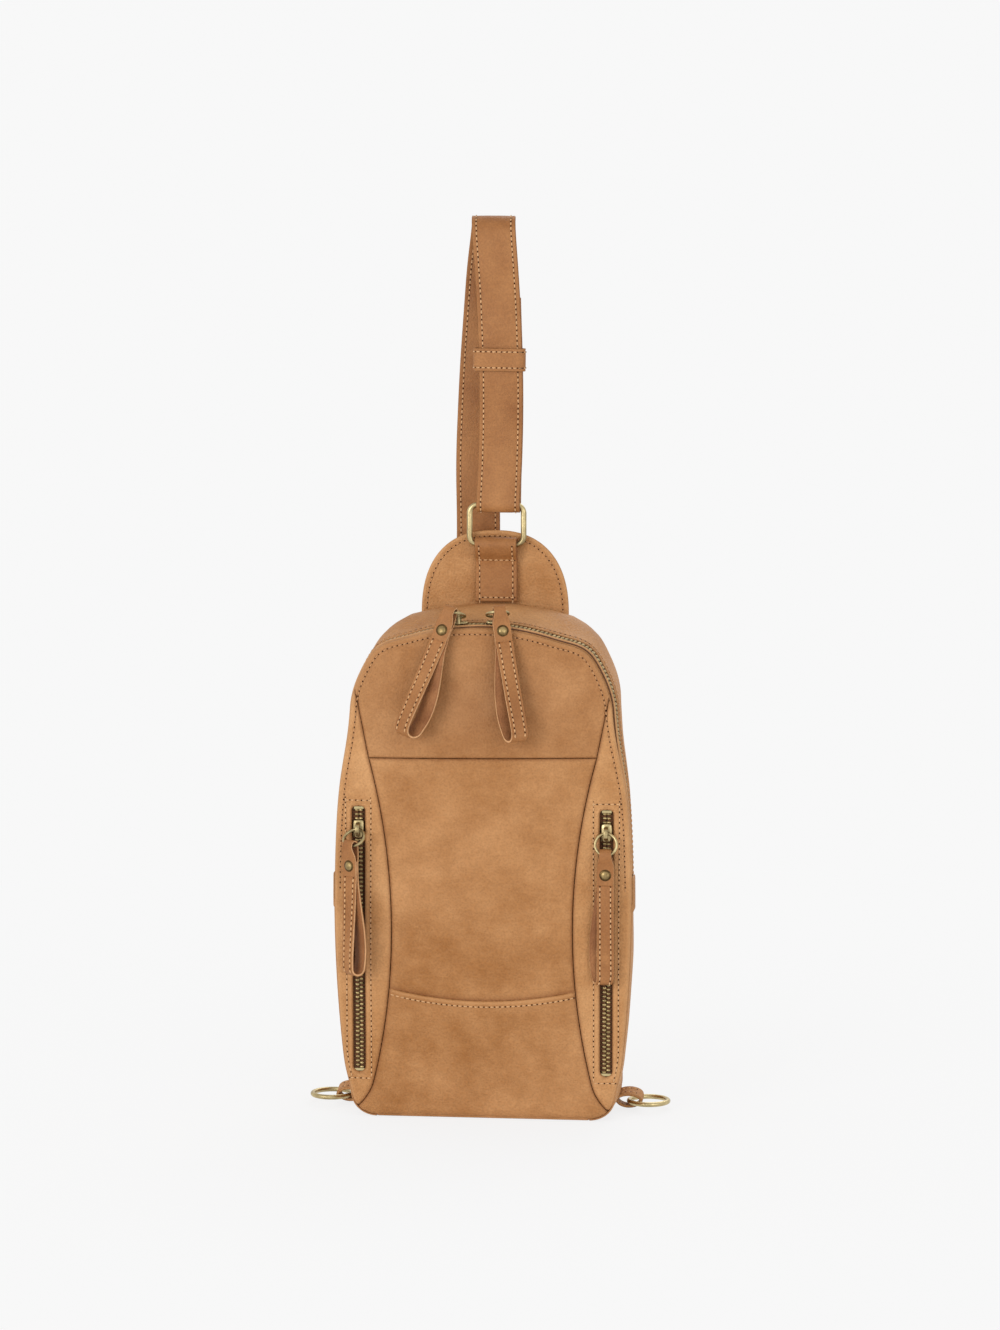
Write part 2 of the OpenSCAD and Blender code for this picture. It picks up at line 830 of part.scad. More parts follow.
module pull() {
    color(leather)
        difference() {
            intersection() {
                translate([-pull_w / 2, 0, 0])
                    rotate([90, 0, 90])
                        linear_extrude(pull_w)
                            difference() {
                                polygon(concat(without_first(pull_side), mirrored(without_first(pull_side))));
                                polygon(concat(eye_side, without_first(without_last(mirrored(eye_side)))));
                                polygon(concat(loop_side, without_first(without_last(mirrored(loop_side)))));
                            }
                plate(
                    [
                        [-pull_neck_w / 2, eye_high + 2 * pull_t],
                        [-pull_neck_w / 2, -rivet_drop / 2],
                        [-pull_w / 2, -rivet_drop / 2 - 2],
                        [-pull_w / 2, -pull_l - pull_t],
                        [pull_w / 2, -pull_l - pull_t],
                        [pull_w / 2, -rivet_drop / 2 - 2],
                        [pull_neck_w / 2, -rivet_drop / 2],
                        [pull_neck_w / 2, eye_high + 2 * pull_t]
                    ],
                    -4 * pull_t - eye_half, 4 * pull_t + eye_half
                );
            }
            translate([0, 0, -rivet_drop])
                rotate([90, 0, 0])
                    cylinder(r = shank_r + soft_clear, h = 6 * pull_t, center = true);
        }
}

// Rivet through two layers, each t thick: a shank and two domed caps
shank_r = 1.2;
module rivet(t) {
    dome_r = (pow(rivet_d / 2, 2) + rivet_h * rivet_h) / (2 * rivet_h);
    color(brass)
        rotate([90, 0, 0])
            union() {
                cylinder(r = shank_r, h = 2 * t + 0.2, center = true);
                for (side = [0, 1])
                    mirror([0, 0, side])
                        intersection() {
                            translate([0, 0, t + soft_clear + rivet_h - dome_r])
                                sphere(r = dome_r, $fn = 96);
                            translate([0, 0, t + soft_clear])
                                cylinder(d = rivet_d, h = 2 * rivet_h);
                        }
            }
}

module left_main_pull_ring() {
    pull_ring(main_bail(-left_slider_x), left_main_yaw, main_swing);
}

module right_main_pull_ring() {
    pull_ring(main_bail(right_slider_x), right_main_yaw, main_swing);
}

module left_pocket_pull_ring() {
    pull_ring(pocket_bail(-1), left_pocket_yaw, left_pocket_swing);
}

module right_pocket_pull_ring() {
    pull_ring(pocket_bail(1), 0, right_pocket_swing);
}

module on_left_main_pull() {
    eye = ring_far(main_bail(-left_slider_x), left_main_yaw, main_swing);
    on_pull(eye, left_main_yaw, left_main_lean, main_tilt)
        children();
}

module on_right_main_pull() {
    eye = ring_far(main_bail(right_slider_x), right_main_yaw, main_swing);
    on_pull(eye, right_main_yaw, right_main_lean, main_tilt)
        children();
}

module on_left_pocket_pull() {
    eye = ring_far(pocket_bail(-1), left_pocket_yaw, left_pocket_swing);
    on_pull(eye, left_pocket_turn, 0, 0)
        children();
}

module on_right_pocket_pull() {
    eye = ring_far(pocket_bail(1), 0, right_pocket_swing);
    on_pull(eye, 0, 0, 0)
        children();
}

module left_main_pull() {
    on_left_main_pull()
        pull();
}

module right_main_pull() {
    on_right_main_pull()
        pull();
}

module left_pocket_pull() {
    on_left_pocket_pull()
        pull();
}

module right_pocket_pull() {
    on_right_pocket_pull()
        pull();
}

module pull_rivet() {
    translate([0, 0, -rivet_drop])
        rivet(pull_t);
}

module left_main_rivet() {
    on_left_main_pull()
        pull_rivet();
}

module right_main_rivet() {
    on_right_main_pull()
        pull_rivet();
}

module left_pocket_rivet() {
    on_left_pocket_pull()
        pull_rivet();
}

module right_pocket_rivet() {
    on_right_pocket_pull()
        pull_rivet();
}

// Top tab and the anchor that holds the strap ring in front of it
fold_clear = 1.1;
fold_r = ring_wire / 2 + fold_clear;
anchor_x = 1.2;
ring_x = 1.6;
ring_y = back_y - fold_r - leather_t - soft_clear;
ring_top_z = ring_low_z + ring_h - ring_wire;

module top_tab() {
    color(leather)
        translate([0, back_y + tab_t, 0])
            rotate([90, 0, 0])
                linear_extrude(tab_t)
                    union() {
                        for (side = [-1, 1])
                            translate([side * (tab_half - tab_r), tab_top_z - tab_r])
                                circle(r = tab_r, $fn = 96);
                        translate([tab_r - tab_half, tab_foot_z])
                            square([2 * (tab_half - tab_r), tab_top_z - tab_foot_z]);
                        translate([-tab_half, tab_foot_z])
                            square([2 * tab_half, tab_top_z - tab_r - tab_foot_z]);
                    }
}

module strap_anchor() {
    back = back_y - soft_clear;
    color(leather)
        translate([anchor_x - strap_w / 2, 0, 0])
            rotate([90, 0, 90])
                linear_extrude(strap_w)
                    difference() {
                        union() {
                            translate([ring_y, ring_low_z])
                                circle(r = fold_r + leather_t);
                            translate([back - 2 * leather_t, anchor_foot_z])
                                square([2 * leather_t, ring_low_z - anchor_foot_z]);
                        }
                        translate([ring_y, ring_low_z])
                            circle(r = fold_r);
                    }
}

// Flat wire ring: w and h are measured outside, c is the corner radius on the centre line
module wire_ring(w, h, wire, c) {
    x = w / 2 - wire / 2;
    z = h / 2 - wire / 2;
    union() {
        for (side = [-1, 1]) {
            translate([side * x, 0, 0])
                cylinder(d = wire, h = 2 * (z - c), center = true);
            translate([0, 0, side * z])
                rotate([0, 90, 0])
                    cylinder(d = wire, h = 2 * (x - c), center = true);
        }
        for (sx = [0, 1])
            for (sz = [0, 1])
                mirror([sx, 0, 0])
                    mirror([0, 0, sz])
                        translate([x - c, 0, z - c])
                            rotate([90, 0, 0])
                                rotate_extrude(angle = 90)
                                    translate([c, 0])
                                        circle(d = wire);
    }
}

module strap_ring() {
    color(brass)
        translate([ring_x, ring_y, ring_low_z + (ring_h - ring_wire) / 2])
            wire_ring(ring_w, ring_h, ring_wire, ring_corner_r);
}

// Strap: one band, from its turned up tail, round the ring, over the top and down to the clip
strap_low_x = 2.2;
strap_top_x = -0.9;
strap_rear_slope = 0.06;
layer_half = strap_t / 2 + 0.1;
fold_path_r = fold_r + strap_t / 2;
fold_rise = 20;
strap_front_y = ring_y - layer_half;
strap_bend_z = strap_top_z - strap_t / 2 - strap_bend_r;
strap_rear_y = strap_front_y + 2 * strap_bend_r;
clip_y = strap_rear_y + layer_half;
clip_fold_r = clip_wire / 2 + fold_clear + strap_t / 2;
strap_run_lean = atan2(strap_top_x - strap_low_x, strap_bend_z - ring_top_z);
function front_x(z) = strap_low_x + (z - ring_top_z) * tan(strap_run_lean);
function rear_x(z) = strap_top_x - strap_rear_slope * (strap_bend_z - z);
clip_x = rear_x(clip_bar_z);
strap_end_z = clip_bar_z + strap_turn_l;

strap_yz = concat(
    [[ring_y + layer_half, strap_tail_z], [ring_y + layer_half, ring_top_z + fold_rise]],
    arc([ring_y, ring_top_z], fold_path_r, 0, -180, 10),
    [[strap_front_y, ring_top_z + fold_rise], [strap_front_y, mix(ring_top_z, strap_bend_z, 0.6)]],
    arc([strap_front_y + strap_bend_r, strap_bend_z], strap_bend_r, 180, 0, 14),
    [[strap_rear_y, mix(clip_bar_z, strap_bend_z, 0.5)], [strap_rear_y, clip_bar_z + fold_rise]],
    arc([clip_y, clip_bar_z], clip_fold_r, -180, 0, 10),
    [[clip_y + layer_half, clip_bar_z + fold_rise], [clip_y + layer_half, strap_end_z]]
);
strap_bend_at = 18;
function strap_x(i) = let (z = strap_yz[i][1]) z > strap_bend_z
    ? strap_top_x
    : i < strap_bend_at ? front_x(z) : rear_x(z);

function unit(v) = v / norm(v);
function strap_normal(i) =
    let (a = strap_yz[max(i - 1, 0)])
    let (b = strap_yz[min(i + 1, len(strap_yz) - 1)])
    let (t = unit(b - a))
    [-t[1], t[0]];

module strap() {
    n = len(strap_yz);
    points = [
        for (i = [0:n - 1])
            let (p = strap_yz[i])
            let (q = strap_normal(i) * strap_t / 2)
            let (x = strap_x(i))
            each [
                [x - strap_w / 2, p[0] + q[0], p[1] + q[1]],
                [x + strap_w / 2, p[0] + q[0], p[1] + q[1]],
                [x + strap_w / 2, p[0] - q[0], p[1] - q[1]],
                [x - strap_w / 2, p[0] - q[0], p[1] - q[1]]
            ]
    ];
    sides = [
        for (i = [0:n - 2])
            for (k = [0:3])
                each quad(4 * i + k, 4 * i + 4 + k, 4 * i + 4 + (k + 1) % 4, 4 * i + (k + 1) % 4)
    ];
    caps = concat(quad(0, 1, 2, 3), quad(4 * n - 1, 4 * n - 2, 4 * n - 3, 4 * n - 4));
    color(leather)
        polyhedron(points, concat(sides, caps), convexity = 10);
}

module strap_end_rivet() {
    z = clip_bar_z + (strap_turn_l + fold_rise) / 2;
    translate([rear_x(z), clip_y, z])
        rivet(strap_t + 0.1);
}

module strap_keeper() {
    layers = 2 * (layer_half + strap_t / 2 + move_clear);
    inside = strap_w + 2 * move_clear;
    color(leather)
        translate([front_x(keeper_z), ring_y, keeper_z])
            rotate([0, strap_run_lean, 0])
                difference() {
                    cube([inside + 2 * keeper_t, layers + 2 * keeper_t, keeper_h], center = true);
                    cube([inside, layers, keeper_h + 1], center = true);
                }
}

// Lower rings in their tabs
low_eye_x = body_w / 2 - low_eye_in;
low_eye_r = low_wire / 2 + 1.2;
low_foot_x = edge_x(low_ring_z + low_tab_t) + soft_clear;

module right_ring_tab() {
    color(leather)
        translate([0, low_ring_y + low_tab_w / 2, 0])
            rotate([90, 0, 0])
                linear_extrude(low_tab_w)
                    difference() {
                        union() {
                            translate([low_eye_x, low_ring_z])
                                circle(r = low_eye_r + low_tab_t);
                            translate([low_foot_x, low_ring_z - low_tab_t])
                                square([low_eye_x - low_foot_x, 2 * low_tab_t]);
                        }
                        translate([low_eye_x, low_ring_z])
                            circle(r = low_eye_r);
                    }
}

module left_ring_tab() {
    mirror([1, 0, 0])
        right_ring_tab();
}

module right_lower_ring() {
    color(brass)
        translate([low_eye_x + low_ring_d / 2, low_ring_y, low_ring_z])
            rotate_extrude()
                translate([low_ring_d / 2, 0])
                    circle(d = low_wire);
}

module left_lower_ring() {
    mirror([1, 0, 0])
        right_lower_ring();
}

// Strap clip: an eye in the strap, a hook that swivels in it and a sprung gate
clip_eye_w = strap_w + 2 * clip_wire + 4;
eye_low_z = clip_bar_z - clip_eye_h;
barrel_top_z = eye_low_z + 0.75 * clip_wire;
barrel_foot_z = barrel_top_z - barrel_l;
hook_z = barrel_foot_z - barrel_r - hook_r;
gate_top_a = 60;
gate_low_a = -30;
gate_end = 1.9;

module clip_eye() {
    color(brass)
        translate([clip_x, clip_y, 0])
            difference() {
                union() {
                    translate([0, 0, clip_bar_z - clip_eye_h / 2])
                        wire_ring(clip_eye_w, clip_eye_h + clip_wire, clip_wire, 4);
                    translate([0, 0, barrel_foot_z])
                        cylinder(r = barrel_r, h = barrel_l);
                }
                translate([0, 0, barrel_foot_z - 1])
                    cylinder(r = post_r + post_clear, h = barrel_l + 2);
            }
}

module clip_hook() {
    color(brass)
        translate([clip_x, clip_y, 0])
            union() {
                translate([0, 0, barrel_foot_z - 2])
                    cylinder(r = post_r, h = barrel_l + 3);
                translate([0, 0, barrel_top_z + post_clear])
                    cylinder(r = barrel_r - 1.2, h = 1.4);
                translate([0, 0, barrel_foot_z - post_clear - barrel_r])
                    cylinder(r = barrel_r, h = barrel_r);
                translate([0, 0, hook_z])
                    rotate([90, 0, 0])
                        rotate([0, 0, gate_top_a])
                            rotate_extrude(angle = 360 - gate_top_a + gate_low_a)
                                translate([hook_r, 0])
                                    circle(r = hook_wire_r);
            }
}

module clip_gate() {
    a = hook_r * direction(gate_top_a);
    b = hook_r * direction(gate_low_a);
    l = norm(b - a);
    color(brass)
        translate([clip_x + a[0], clip_y, hook_z + a[1]])
            rotate([0, 90 - bearing(a, b), 0])
                translate([0, 0, gate_end])
                    cylinder(r = gate_r, h = l - 2 * gate_end);
}

front_yoke();
front_centre_panel();
front_lower_panel();
left_side_panel();
right_side_panel();
front_binding();
left_gusset();
right_gusset();
top_gusset();
base_panel();
back_panel();
top_tab();
strap_anchor();
back_foam();
base_board();
front_lining();
back_lining();
gusset_lining();
left_pocket_lining();
right_pocket_lining();
main_zip_front_tape();
main_zip_rear_tape();
main_zip_front_teeth();
main_zip_rear_teeth();
main_zip_end_covers();
left_zip_tapes();
right_zip_tapes();
left_zip_teeth();
right_zip_teeth();
pocket_zip_stops();
left_ring_tab();
right_ring_tab();
left_main_slider();
right_main_slider();
left_pocket_slider();
right_pocket_slider();
left_main_pull_ring();
right_main_pull_ring();
left_pocket_pull_ring();
right_pocket_pull_ring();
left_main_pull();
right_main_pull();
left_pocket_pull();
right_pocket_pull();
left_main_rivet();
right_main_rivet();
left_pocket_rivet();
right_pocket_rivet();
strap();
strap_end_rivet();
strap_keeper();
strap_ring();
left_lower_ring();
right_lower_ring();
clip_eye();
clip_hook();
clip_gate();
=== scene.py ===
import math

import bmesh
import bpy
import numpy as np
from mathutils import Matrix, Vector, noise


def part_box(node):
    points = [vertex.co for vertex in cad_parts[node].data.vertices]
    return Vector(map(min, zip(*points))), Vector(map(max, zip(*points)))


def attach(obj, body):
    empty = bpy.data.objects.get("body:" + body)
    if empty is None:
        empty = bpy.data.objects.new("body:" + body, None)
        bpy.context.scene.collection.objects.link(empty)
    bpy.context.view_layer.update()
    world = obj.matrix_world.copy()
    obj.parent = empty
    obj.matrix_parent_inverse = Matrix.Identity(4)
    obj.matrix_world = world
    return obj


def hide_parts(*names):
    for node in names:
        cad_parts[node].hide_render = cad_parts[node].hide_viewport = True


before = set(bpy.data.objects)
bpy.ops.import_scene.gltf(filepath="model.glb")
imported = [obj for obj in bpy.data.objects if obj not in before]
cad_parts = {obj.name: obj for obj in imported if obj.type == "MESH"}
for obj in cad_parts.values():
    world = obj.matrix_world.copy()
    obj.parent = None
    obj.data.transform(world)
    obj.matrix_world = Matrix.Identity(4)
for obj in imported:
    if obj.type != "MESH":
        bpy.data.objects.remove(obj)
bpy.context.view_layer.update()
mm = 0.001
scene = bpy.context.scene
scene.view_settings.view_transform = "Standard"

# camera at the photograph's angle, long lens
cameraView = {"azimuth": 6.3, "elevation": 7.2, "distance": 3.0, "frameHeight": 0.8160,
              "aim": (0.0070, 0.0, 0.2765), "sensor": 36.0, "farClip": 60.0}


def addObject(name, data):
    made = bpy.data.objects.new(name, data)
    scene.collection.objects.link(made)
    return made


def placeCamera():
    a, e = math.radians(cameraView["azimuth"]), math.radians(cameraView["elevation"])
    away = Vector((math.sin(a) * math.cos(e), -math.cos(a) * math.cos(e), math.sin(e)))
    data = bpy.data.cameras.new("photoCamera")
    data.sensor_width = cameraView["sensor"]
    data.lens = cameraView["sensor"] * cameraView["distance"] / cameraView["frameHeight"]
    data.clip_end = cameraView["farClip"]
    cam = addObject("photoCamera", data)
    cam.location = Vector(cameraView["aim"]) + away * cameraView["distance"]
    cam.rotation_euler = (-away).to_track_quat("-Z", "Y").to_euler()
    scene.camera = cam


placeCamera()
print("camera placed")


# node helpers: a socket is linked to another node's output, or takes a plain value
def feed(tree, socket, value):
    if isinstance(value, bpy.types.NodeSocket):
        tree.links.new(value, socket)
    else:
        socket.default_value = value


def addNode(tree, kind, inputs=None, **props):
    n = tree.nodes.new(kind)
    for key, value in props.items():
        setattr(n, key, value)
    for key, value in (inputs or {}).items():
        feed(tree, n.inputs[key], value)
    return n


def mathNode(tree, operation, a, b):
    return addNode(tree, "ShaderNodeMath", {0: a, 1: b}, operation=operation).outputs[0]


def weighted(tree, *terms):
    total = None
    for value, share in terms:
        part = mathNode(tree, "MULTIPLY", value, share)
        total = part if total is None else mathNode(tree, "ADD", total, part)
    return total


def mixColour(tree, factor, a, b, blend="MIX"):
    n = addNode(tree, "ShaderNodeMix", {0: factor, 6: a, 7: b}, data_type="RGBA", blend_type=blend)
    return n.outputs[2]


def remap(tree, value, low, high, toLow, toHigh):
    return addNode(tree, "ShaderNodeMapRange", {0: value, 1: low, 2: high, 3: toLow, 4: toHigh}).outputs[0]


def greyNode(tree, value):
    return addNode(tree, "ShaderNodeCombineColor", {0: value, 1: value, 2: value}).outputs[0]


def noiseNode(tree, place, scale, detail, rough=0.5, warp=0.0):
    return addNode(tree, "ShaderNodeTexNoise", {"Vector": place, "Scale": scale, "Detail": detail,
                                                "Roughness": rough, "Distortion": warp}).outputs[0]


def objectPlace(tree):
    return addNode(tree, "ShaderNodeTexCoord").outputs["Object"]


def attributeNode(tree, name):
    return addNode(tree, "ShaderNodeAttribute", attribute_name=name).outputs["Fac"]


def rgb(r, g, b):
    def linear(c):
        c /= 255
        return c / 12.92 if c <= 0.04045 else ((c + 0.055) / 1.055) ** 2.4
    return (linear(r), linear(g), linear(b), 1.0)


def newGroup(name, colours, values):
    tree = bpy.data.node_groups.new(name, "ShaderNodeTree")
    for kind, sockets in (("NodeSocketColor", colours), ("NodeSocketFloat", values)):
        for label, value in sockets.items():
            tree.interface.new_socket(label, in_out="INPUT", socket_type=kind).default_value = value
    tree.interface.new_socket("Colour", in_out="OUTPUT", socket_type="NodeSocketColor")
    for label in ("Roughness", "Height"):
        tree.interface.new_socket(label, in_out="OUTPUT", socket_type="NodeSocketFloat")
    return tree, tree.nodes.new("NodeGroupInput").outputs, tree.nodes.new("NodeGroupOutput").inputs


# cloudy oiled leather: tone, pebble grain, rubbed edges, and painted shade from the shade attribute along
# seams, edges and folds and over the yoke
def makeLeatherGroup():
    tree, given, result = newGroup(
        "oiledLeather", {"Deep": rgb(138, 84, 30), "Light": rgb(199, 148, 99)},
        {"Cloud Size": 16.0, "Grain Size": 820.0, "Rub": 0.5})
    place = objectPlace(tree)
    clouds = noiseNode(tree, place, given["Cloud Size"], 3.0, 0.55, 0.4)
    patches = noiseNode(tree, place, 55.0, 4.0, 0.6)
    speck = noiseNode(tree, place, 620.0, 2.0, 0.5)
    pebble = addNode(tree, "ShaderNodeTexVoronoi",
                     {"Vector": place, "Scale": given["Grain Size"], "Randomness": 1.0, "Smoothness": 0.55},
                     feature="SMOOTH_F1").outputs["Distance"]
    slanted = addNode(tree, "ShaderNodeMapping",
                      {"Vector": place, "Rotation": (0.0, 0.5, 0.0), "Scale": (1.0, 1.0, 3.2)}).outputs[0]
    crease = noiseNode(tree, slanted, 130.0, 4.0, 0.62)
    tone = weighted(tree, (clouds, 0.5), (patches, 0.32), (speck, 0.06), (crease, 0.1))
    colour = mixColour(tree, remap(tree, tone, 0.29, 0.71, 0.0, 1.0), given["Deep"], given["Light"])
    pits = greyNode(tree, remap(tree, pebble, 0.0, 0.75, 0.87, 1.06))
    colour = mixColour(tree, 1.0, colour, pits, "MULTIPLY")
    rubbed = mathNode(tree, "MULTIPLY", attributeNode(tree, "rub"), given["Rub"])
    colour = mixColour(tree, rubbed, colour, given["Light"])
    shaded = mathNode(tree, "MULTIPLY", attributeNode(tree, "shade"), 0.55)
    feed(tree, result["Colour"], mixColour(tree, shaded, colour, rgb(112, 62, 30)))
    rough = remap(tree, patches, 0.3, 0.7, 0.5, 0.62)
    feed(tree, result["Roughness"], mathNode(tree, "ADD", rough, mathNode(tree, "MULTIPLY", speck, 0.08)))
    feed(tree, result["Height"], weighted(tree, (pebble, 0.75), (crease, 0.6), (speck, 0.35)))
    return tree


# tarnish that darkens metal in cloudy spots
def makeTarnishGroup():
    tree, given, result = newGroup(
        "tarnish", {"Bright": rgb(205, 186, 138), "Dark": rgb(84, 66, 40)},
        {"Spot Size": 420.0, "Amount": 0.5})
    place = objectPlace(tree)
    spots = noiseNode(tree, place, given["Spot Size"], 5.0, 0.65)
    brushed = noiseNode(tree, place, 2600.0, 2.0)
    mask = mathNode(tree, "MULTIPLY", remap(tree, spots, 0.38, 0.62, 0.0, 1.0), given["Amount"])
    feed(tree, result["Colour"], mixColour(tree, mask, given["Bright"], given["Dark"]))
    rough = remap(tree, mask, 0.0, 1.0, 0.24, 0.5)
    feed(tree, result["Roughness"], mathNode(tree, "ADD", rough, mathNode(tree, "MULTIPLY", brushed, 0.1)))
    feed(tree, result["Height"], mathNode(tree, "ADD", spots, brushed))
    return tree


# plain weave from two crossing rows of threads
def makeWeaveGroup():
    tree, given, result = newGroup(
        "plainWeave", {"Warp": rgb(120, 78, 48), "Weft": rgb(92, 58, 36)}, {"Threads": 1500.0})
    place = objectPlace(tree)
    rows = [addNode(tree, "ShaderNodeTexWave",
                    {"Vector": place, "Scale": given["Threads"], "Distortion": 0.6, "Detail": 1.0,
                     "Detail Scale": 2.0}, wave_type="BANDS", bands_direction=axis).outputs["Fac"]
            for axis in ("X", "Z")]
    lint = noiseNode(tree, place, 900.0, 3.0)
    colour = mixColour(tree, mathNode(tree, "MULTIPLY", *rows), given["Weft"], given["Warp"])
    fluff = greyNode(tree, remap(tree, lint, 0.3, 0.7, 0.8, 1.12))
    feed(tree, result["Colour"], mixColour(tree, 1.0, colour, fluff, "MULTIPLY"))
    feed(tree, result["Roughness"], remap(tree, lint, 0.3, 0.7, 0.78, 0.95))
    feed(tree, result["Height"], mathNode(tree, "ADD", *rows))
    return tree


groups = {"leather": makeLeatherGroup(), "tarnish": makeTarnishGroup(), "weave": makeWeaveGroup()}


def makeFinish(name, group, values, bump, reach, metallic=0.0, sheen=0.0, specular=0.5):
    mat = bpy.data.materials.new(name)
    mat.use_nodes = True
    tree = mat.node_tree
    shader = tree.nodes["Principled BSDF"].inputs
    surface = addNode(tree, "ShaderNodeGroup", values, node_tree=groups[group]).outputs
    relief = addNode(tree, "ShaderNodeBump",
                     {"Strength": bump, "Distance": reach, "Height": surface["Height"]})
    feed(tree, shader["Base Color"], surface["Colour"])
    feed(tree, shader["Roughness"], surface["Roughness"])
    feed(tree, shader["Normal"], relief.outputs[0])
    shader["Metallic"].default_value = metallic
    shader["Sheen Weight"].default_value = sheen
    shader["Specular IOR Level"].default_value = specular
    return mat


# a finish's values: its two colours, the size of its pattern, then bump, reach of the bump and gloss
def makeHide(name, deep, light, clouds, bump, reach, specular, grain=820.0, rub=0.5):
    values = {"Deep": rgb(*deep), "Light": rgb(*light), "Cloud Size": clouds, "Grain Size": grain, "Rub": rub}
    return makeFinish(name, "leather", values, bump, reach, specular=specular)


def makeBrass(name, bright, dark, spots, amount, bump=0.12):
    values = {"Bright": rgb(*bright), "Dark": rgb(*dark), "Spot Size": spots, "Amount": amount}
    return makeFinish(name, "tarnish", values, bump, 0.0003, metallic=1.0)


def makeCloth(name, warp, weft, threads, bump, reach, specular, sheen=0.0):
    values = {"Warp": rgb(*warp), "Weft": rgb(*weft), "Threads": threads}
    return makeFinish(name, "weave", values, bump, reach, sheen=sheen, specular=specular)


finishes = {
    "leather": makeHide("tanLeather", (138, 84, 30), (199, 148, 99), 13.0, 0.55, 0.0008, 0.24, 760.0),
    # a paler copy of the same tan leather: painted light on the side panels, gussets, binding and tabs, which
    # lie in more shade than the front
    "paleLeather": makeHide("paleTanLeather", (153, 99, 47), (208, 158, 108), 13.0, 0.55, 0.0008, 0.24,
                            760.0),
    "strapLeather": makeHide("strapLeather", (132, 79, 33), (176, 123, 74), 24.0, 0.4, 0.0006, 0.35),
    "paleEdge": makeHide("paleLeatherEdge", (176, 124, 78), (226, 178, 130), 60.0, 0.4, 0.0005, 0.25,
                         rub=0.2),
    "cutEdge": makeHide("cutLeatherEdge", (118, 70, 37), (170, 117, 74), 60.0, 0.5, 0.0006, 0.25, rub=0.2),
    "brass": makeBrass("antiqueBrass", (205, 186, 138), (84, 66, 40), 70.0, 0.5, 0.03),
    "toothBrass": makeBrass("zipTeethBrass", (188, 166, 118), (84, 64, 38), 260.0, 0.6),
    "rivetBrass": makeBrass("rivetBrass", (176, 152, 104), (92, 72, 44), 300.0, 0.6),
    "rimBrass": makeBrass("rimBrass", (104, 82, 50), (52, 38, 22), 400.0, 0.7),
    "tape": makeCloth("wovenZipTape", (120, 78, 48), (92, 58, 36), 420.0, 0.5, 0.0003, 0.2, 0.2),
    "lining": makeCloth("liningCloth", (150, 118, 88), (120, 92, 66), 300.0, 0.4, 0.0003, 0.2, 0.2),
    "foam": makeCloth("backFoam", (226, 222, 210), (206, 200, 186), 180.0, 0.6, 0.0008, 0.1),
    "board": makeCloth("fibreBoard", (92, 76, 60), (74, 60, 46), 90.0, 0.3, 0.0004, 0.2),
    "paleThread": makeCloth("paleThread", (232, 190, 142), (208, 160, 110), 900.0, 0.4, 0.0002, 0.25, 0.2),
    "tanThread": makeCloth("tanThread", (212, 162, 112), (186, 134, 86), 900.0, 0.4, 0.0002, 0.25, 0.2),
    "needleHole": makeCloth("needleHole", (74, 40, 20), (56, 28, 14), 900.0, 0.2, 0.0002, 0.1),
}
print("finishes made")

# outline of the bag in millimetres, as in the solid model
bag = {"height": 306.0, "width": 183.0, "widest": 135.0, "sideR": 900.0, "topR": 140.0, "shoulderR": 55.0,
       "cornerR": 18.0, "crown": 7.0, "frontY": -35.0, "backY": 35.0, "zipEnd": 135.0, "yokeZ": 224.0,
       "pocketZ": 81.0, "pocketSag": 6.5, "waistHalf": 55.5, "waistZ": 118.0, "seamR": 400.0,
       "seamFlare": 11.0, "flareZ": 22.0, "seamSlope": 0.2, "yokeTilt": 0.014}
mirrorX = np.array([-1.0, 1.0])
sideC = np.array([bag["width"] / 2 - bag["sideR"], bag["widest"]])
topC = np.array([0.0, bag["height"] - bag["topR"]])


def smooth(a, b, t):
    t = np.clip((np.asarray(t, float) - a) / (b - a), 0, 1)
    return t * t * (3 - 2 * t)


def hump(d, centre, spread):
    return np.exp(-((np.asarray(d, float) - centre) / spread) ** 2)


def average(values, window):
    return np.convolve(np.pad(values, window // 2, mode="edge"), np.ones(window) / window, "valid")


def runLength(line):
    return np.concatenate([[0], np.cumsum(np.sqrt((np.diff(line, axis=0) ** 2).sum(1)))])


def alongLine(line, fractions):
    d = runLength(line)
    at = np.asarray(fractions) * d[-1]
    return np.stack([np.interp(at, d, column) for column in line.T], 1)


# points of [x, z], set upright at a depth
def atDepth(flat, y):
    return np.stack([flat[..., 0], np.broadcast_to(y, flat.shape[:-1]), flat[..., 1]], -1)


# upper crossing of two circles
def crossing(c0, r0, c1, r1):
    d = c1 - c0
    apart = np.hypot(*d)
    along = (r0 * r0 - r1 * r1 + apart * apart) / (2 * apart)
    h = math.sqrt(r0 * r0 - along * along)
    return c0 + d * along / apart + h * np.array([-d[1], d[0]]) / apart


shoulderC = crossing(sideC, bag["sideR"] - bag["shoulderR"], topC, bag["topR"] - bag["shoulderR"])
cornerReach = math.sqrt((bag["sideR"] - bag["cornerR"]) ** 2 - (bag["widest"] - bag["cornerR"]) ** 2)
cornerC = np.array([sideC[0] + cornerReach, bag["cornerR"]])


def bearing(a, b):
    return math.atan2(b[1] - a[1], b[0] - a[0])


def arcRun(c, r, a0, a1, step):
    a = np.linspace(a0, a1, max(2, int(abs(a1 - a0) * r / step)) + 1)
    n = np.stack([np.cos(a), np.sin(a)], 1)
    return c + r * n, n


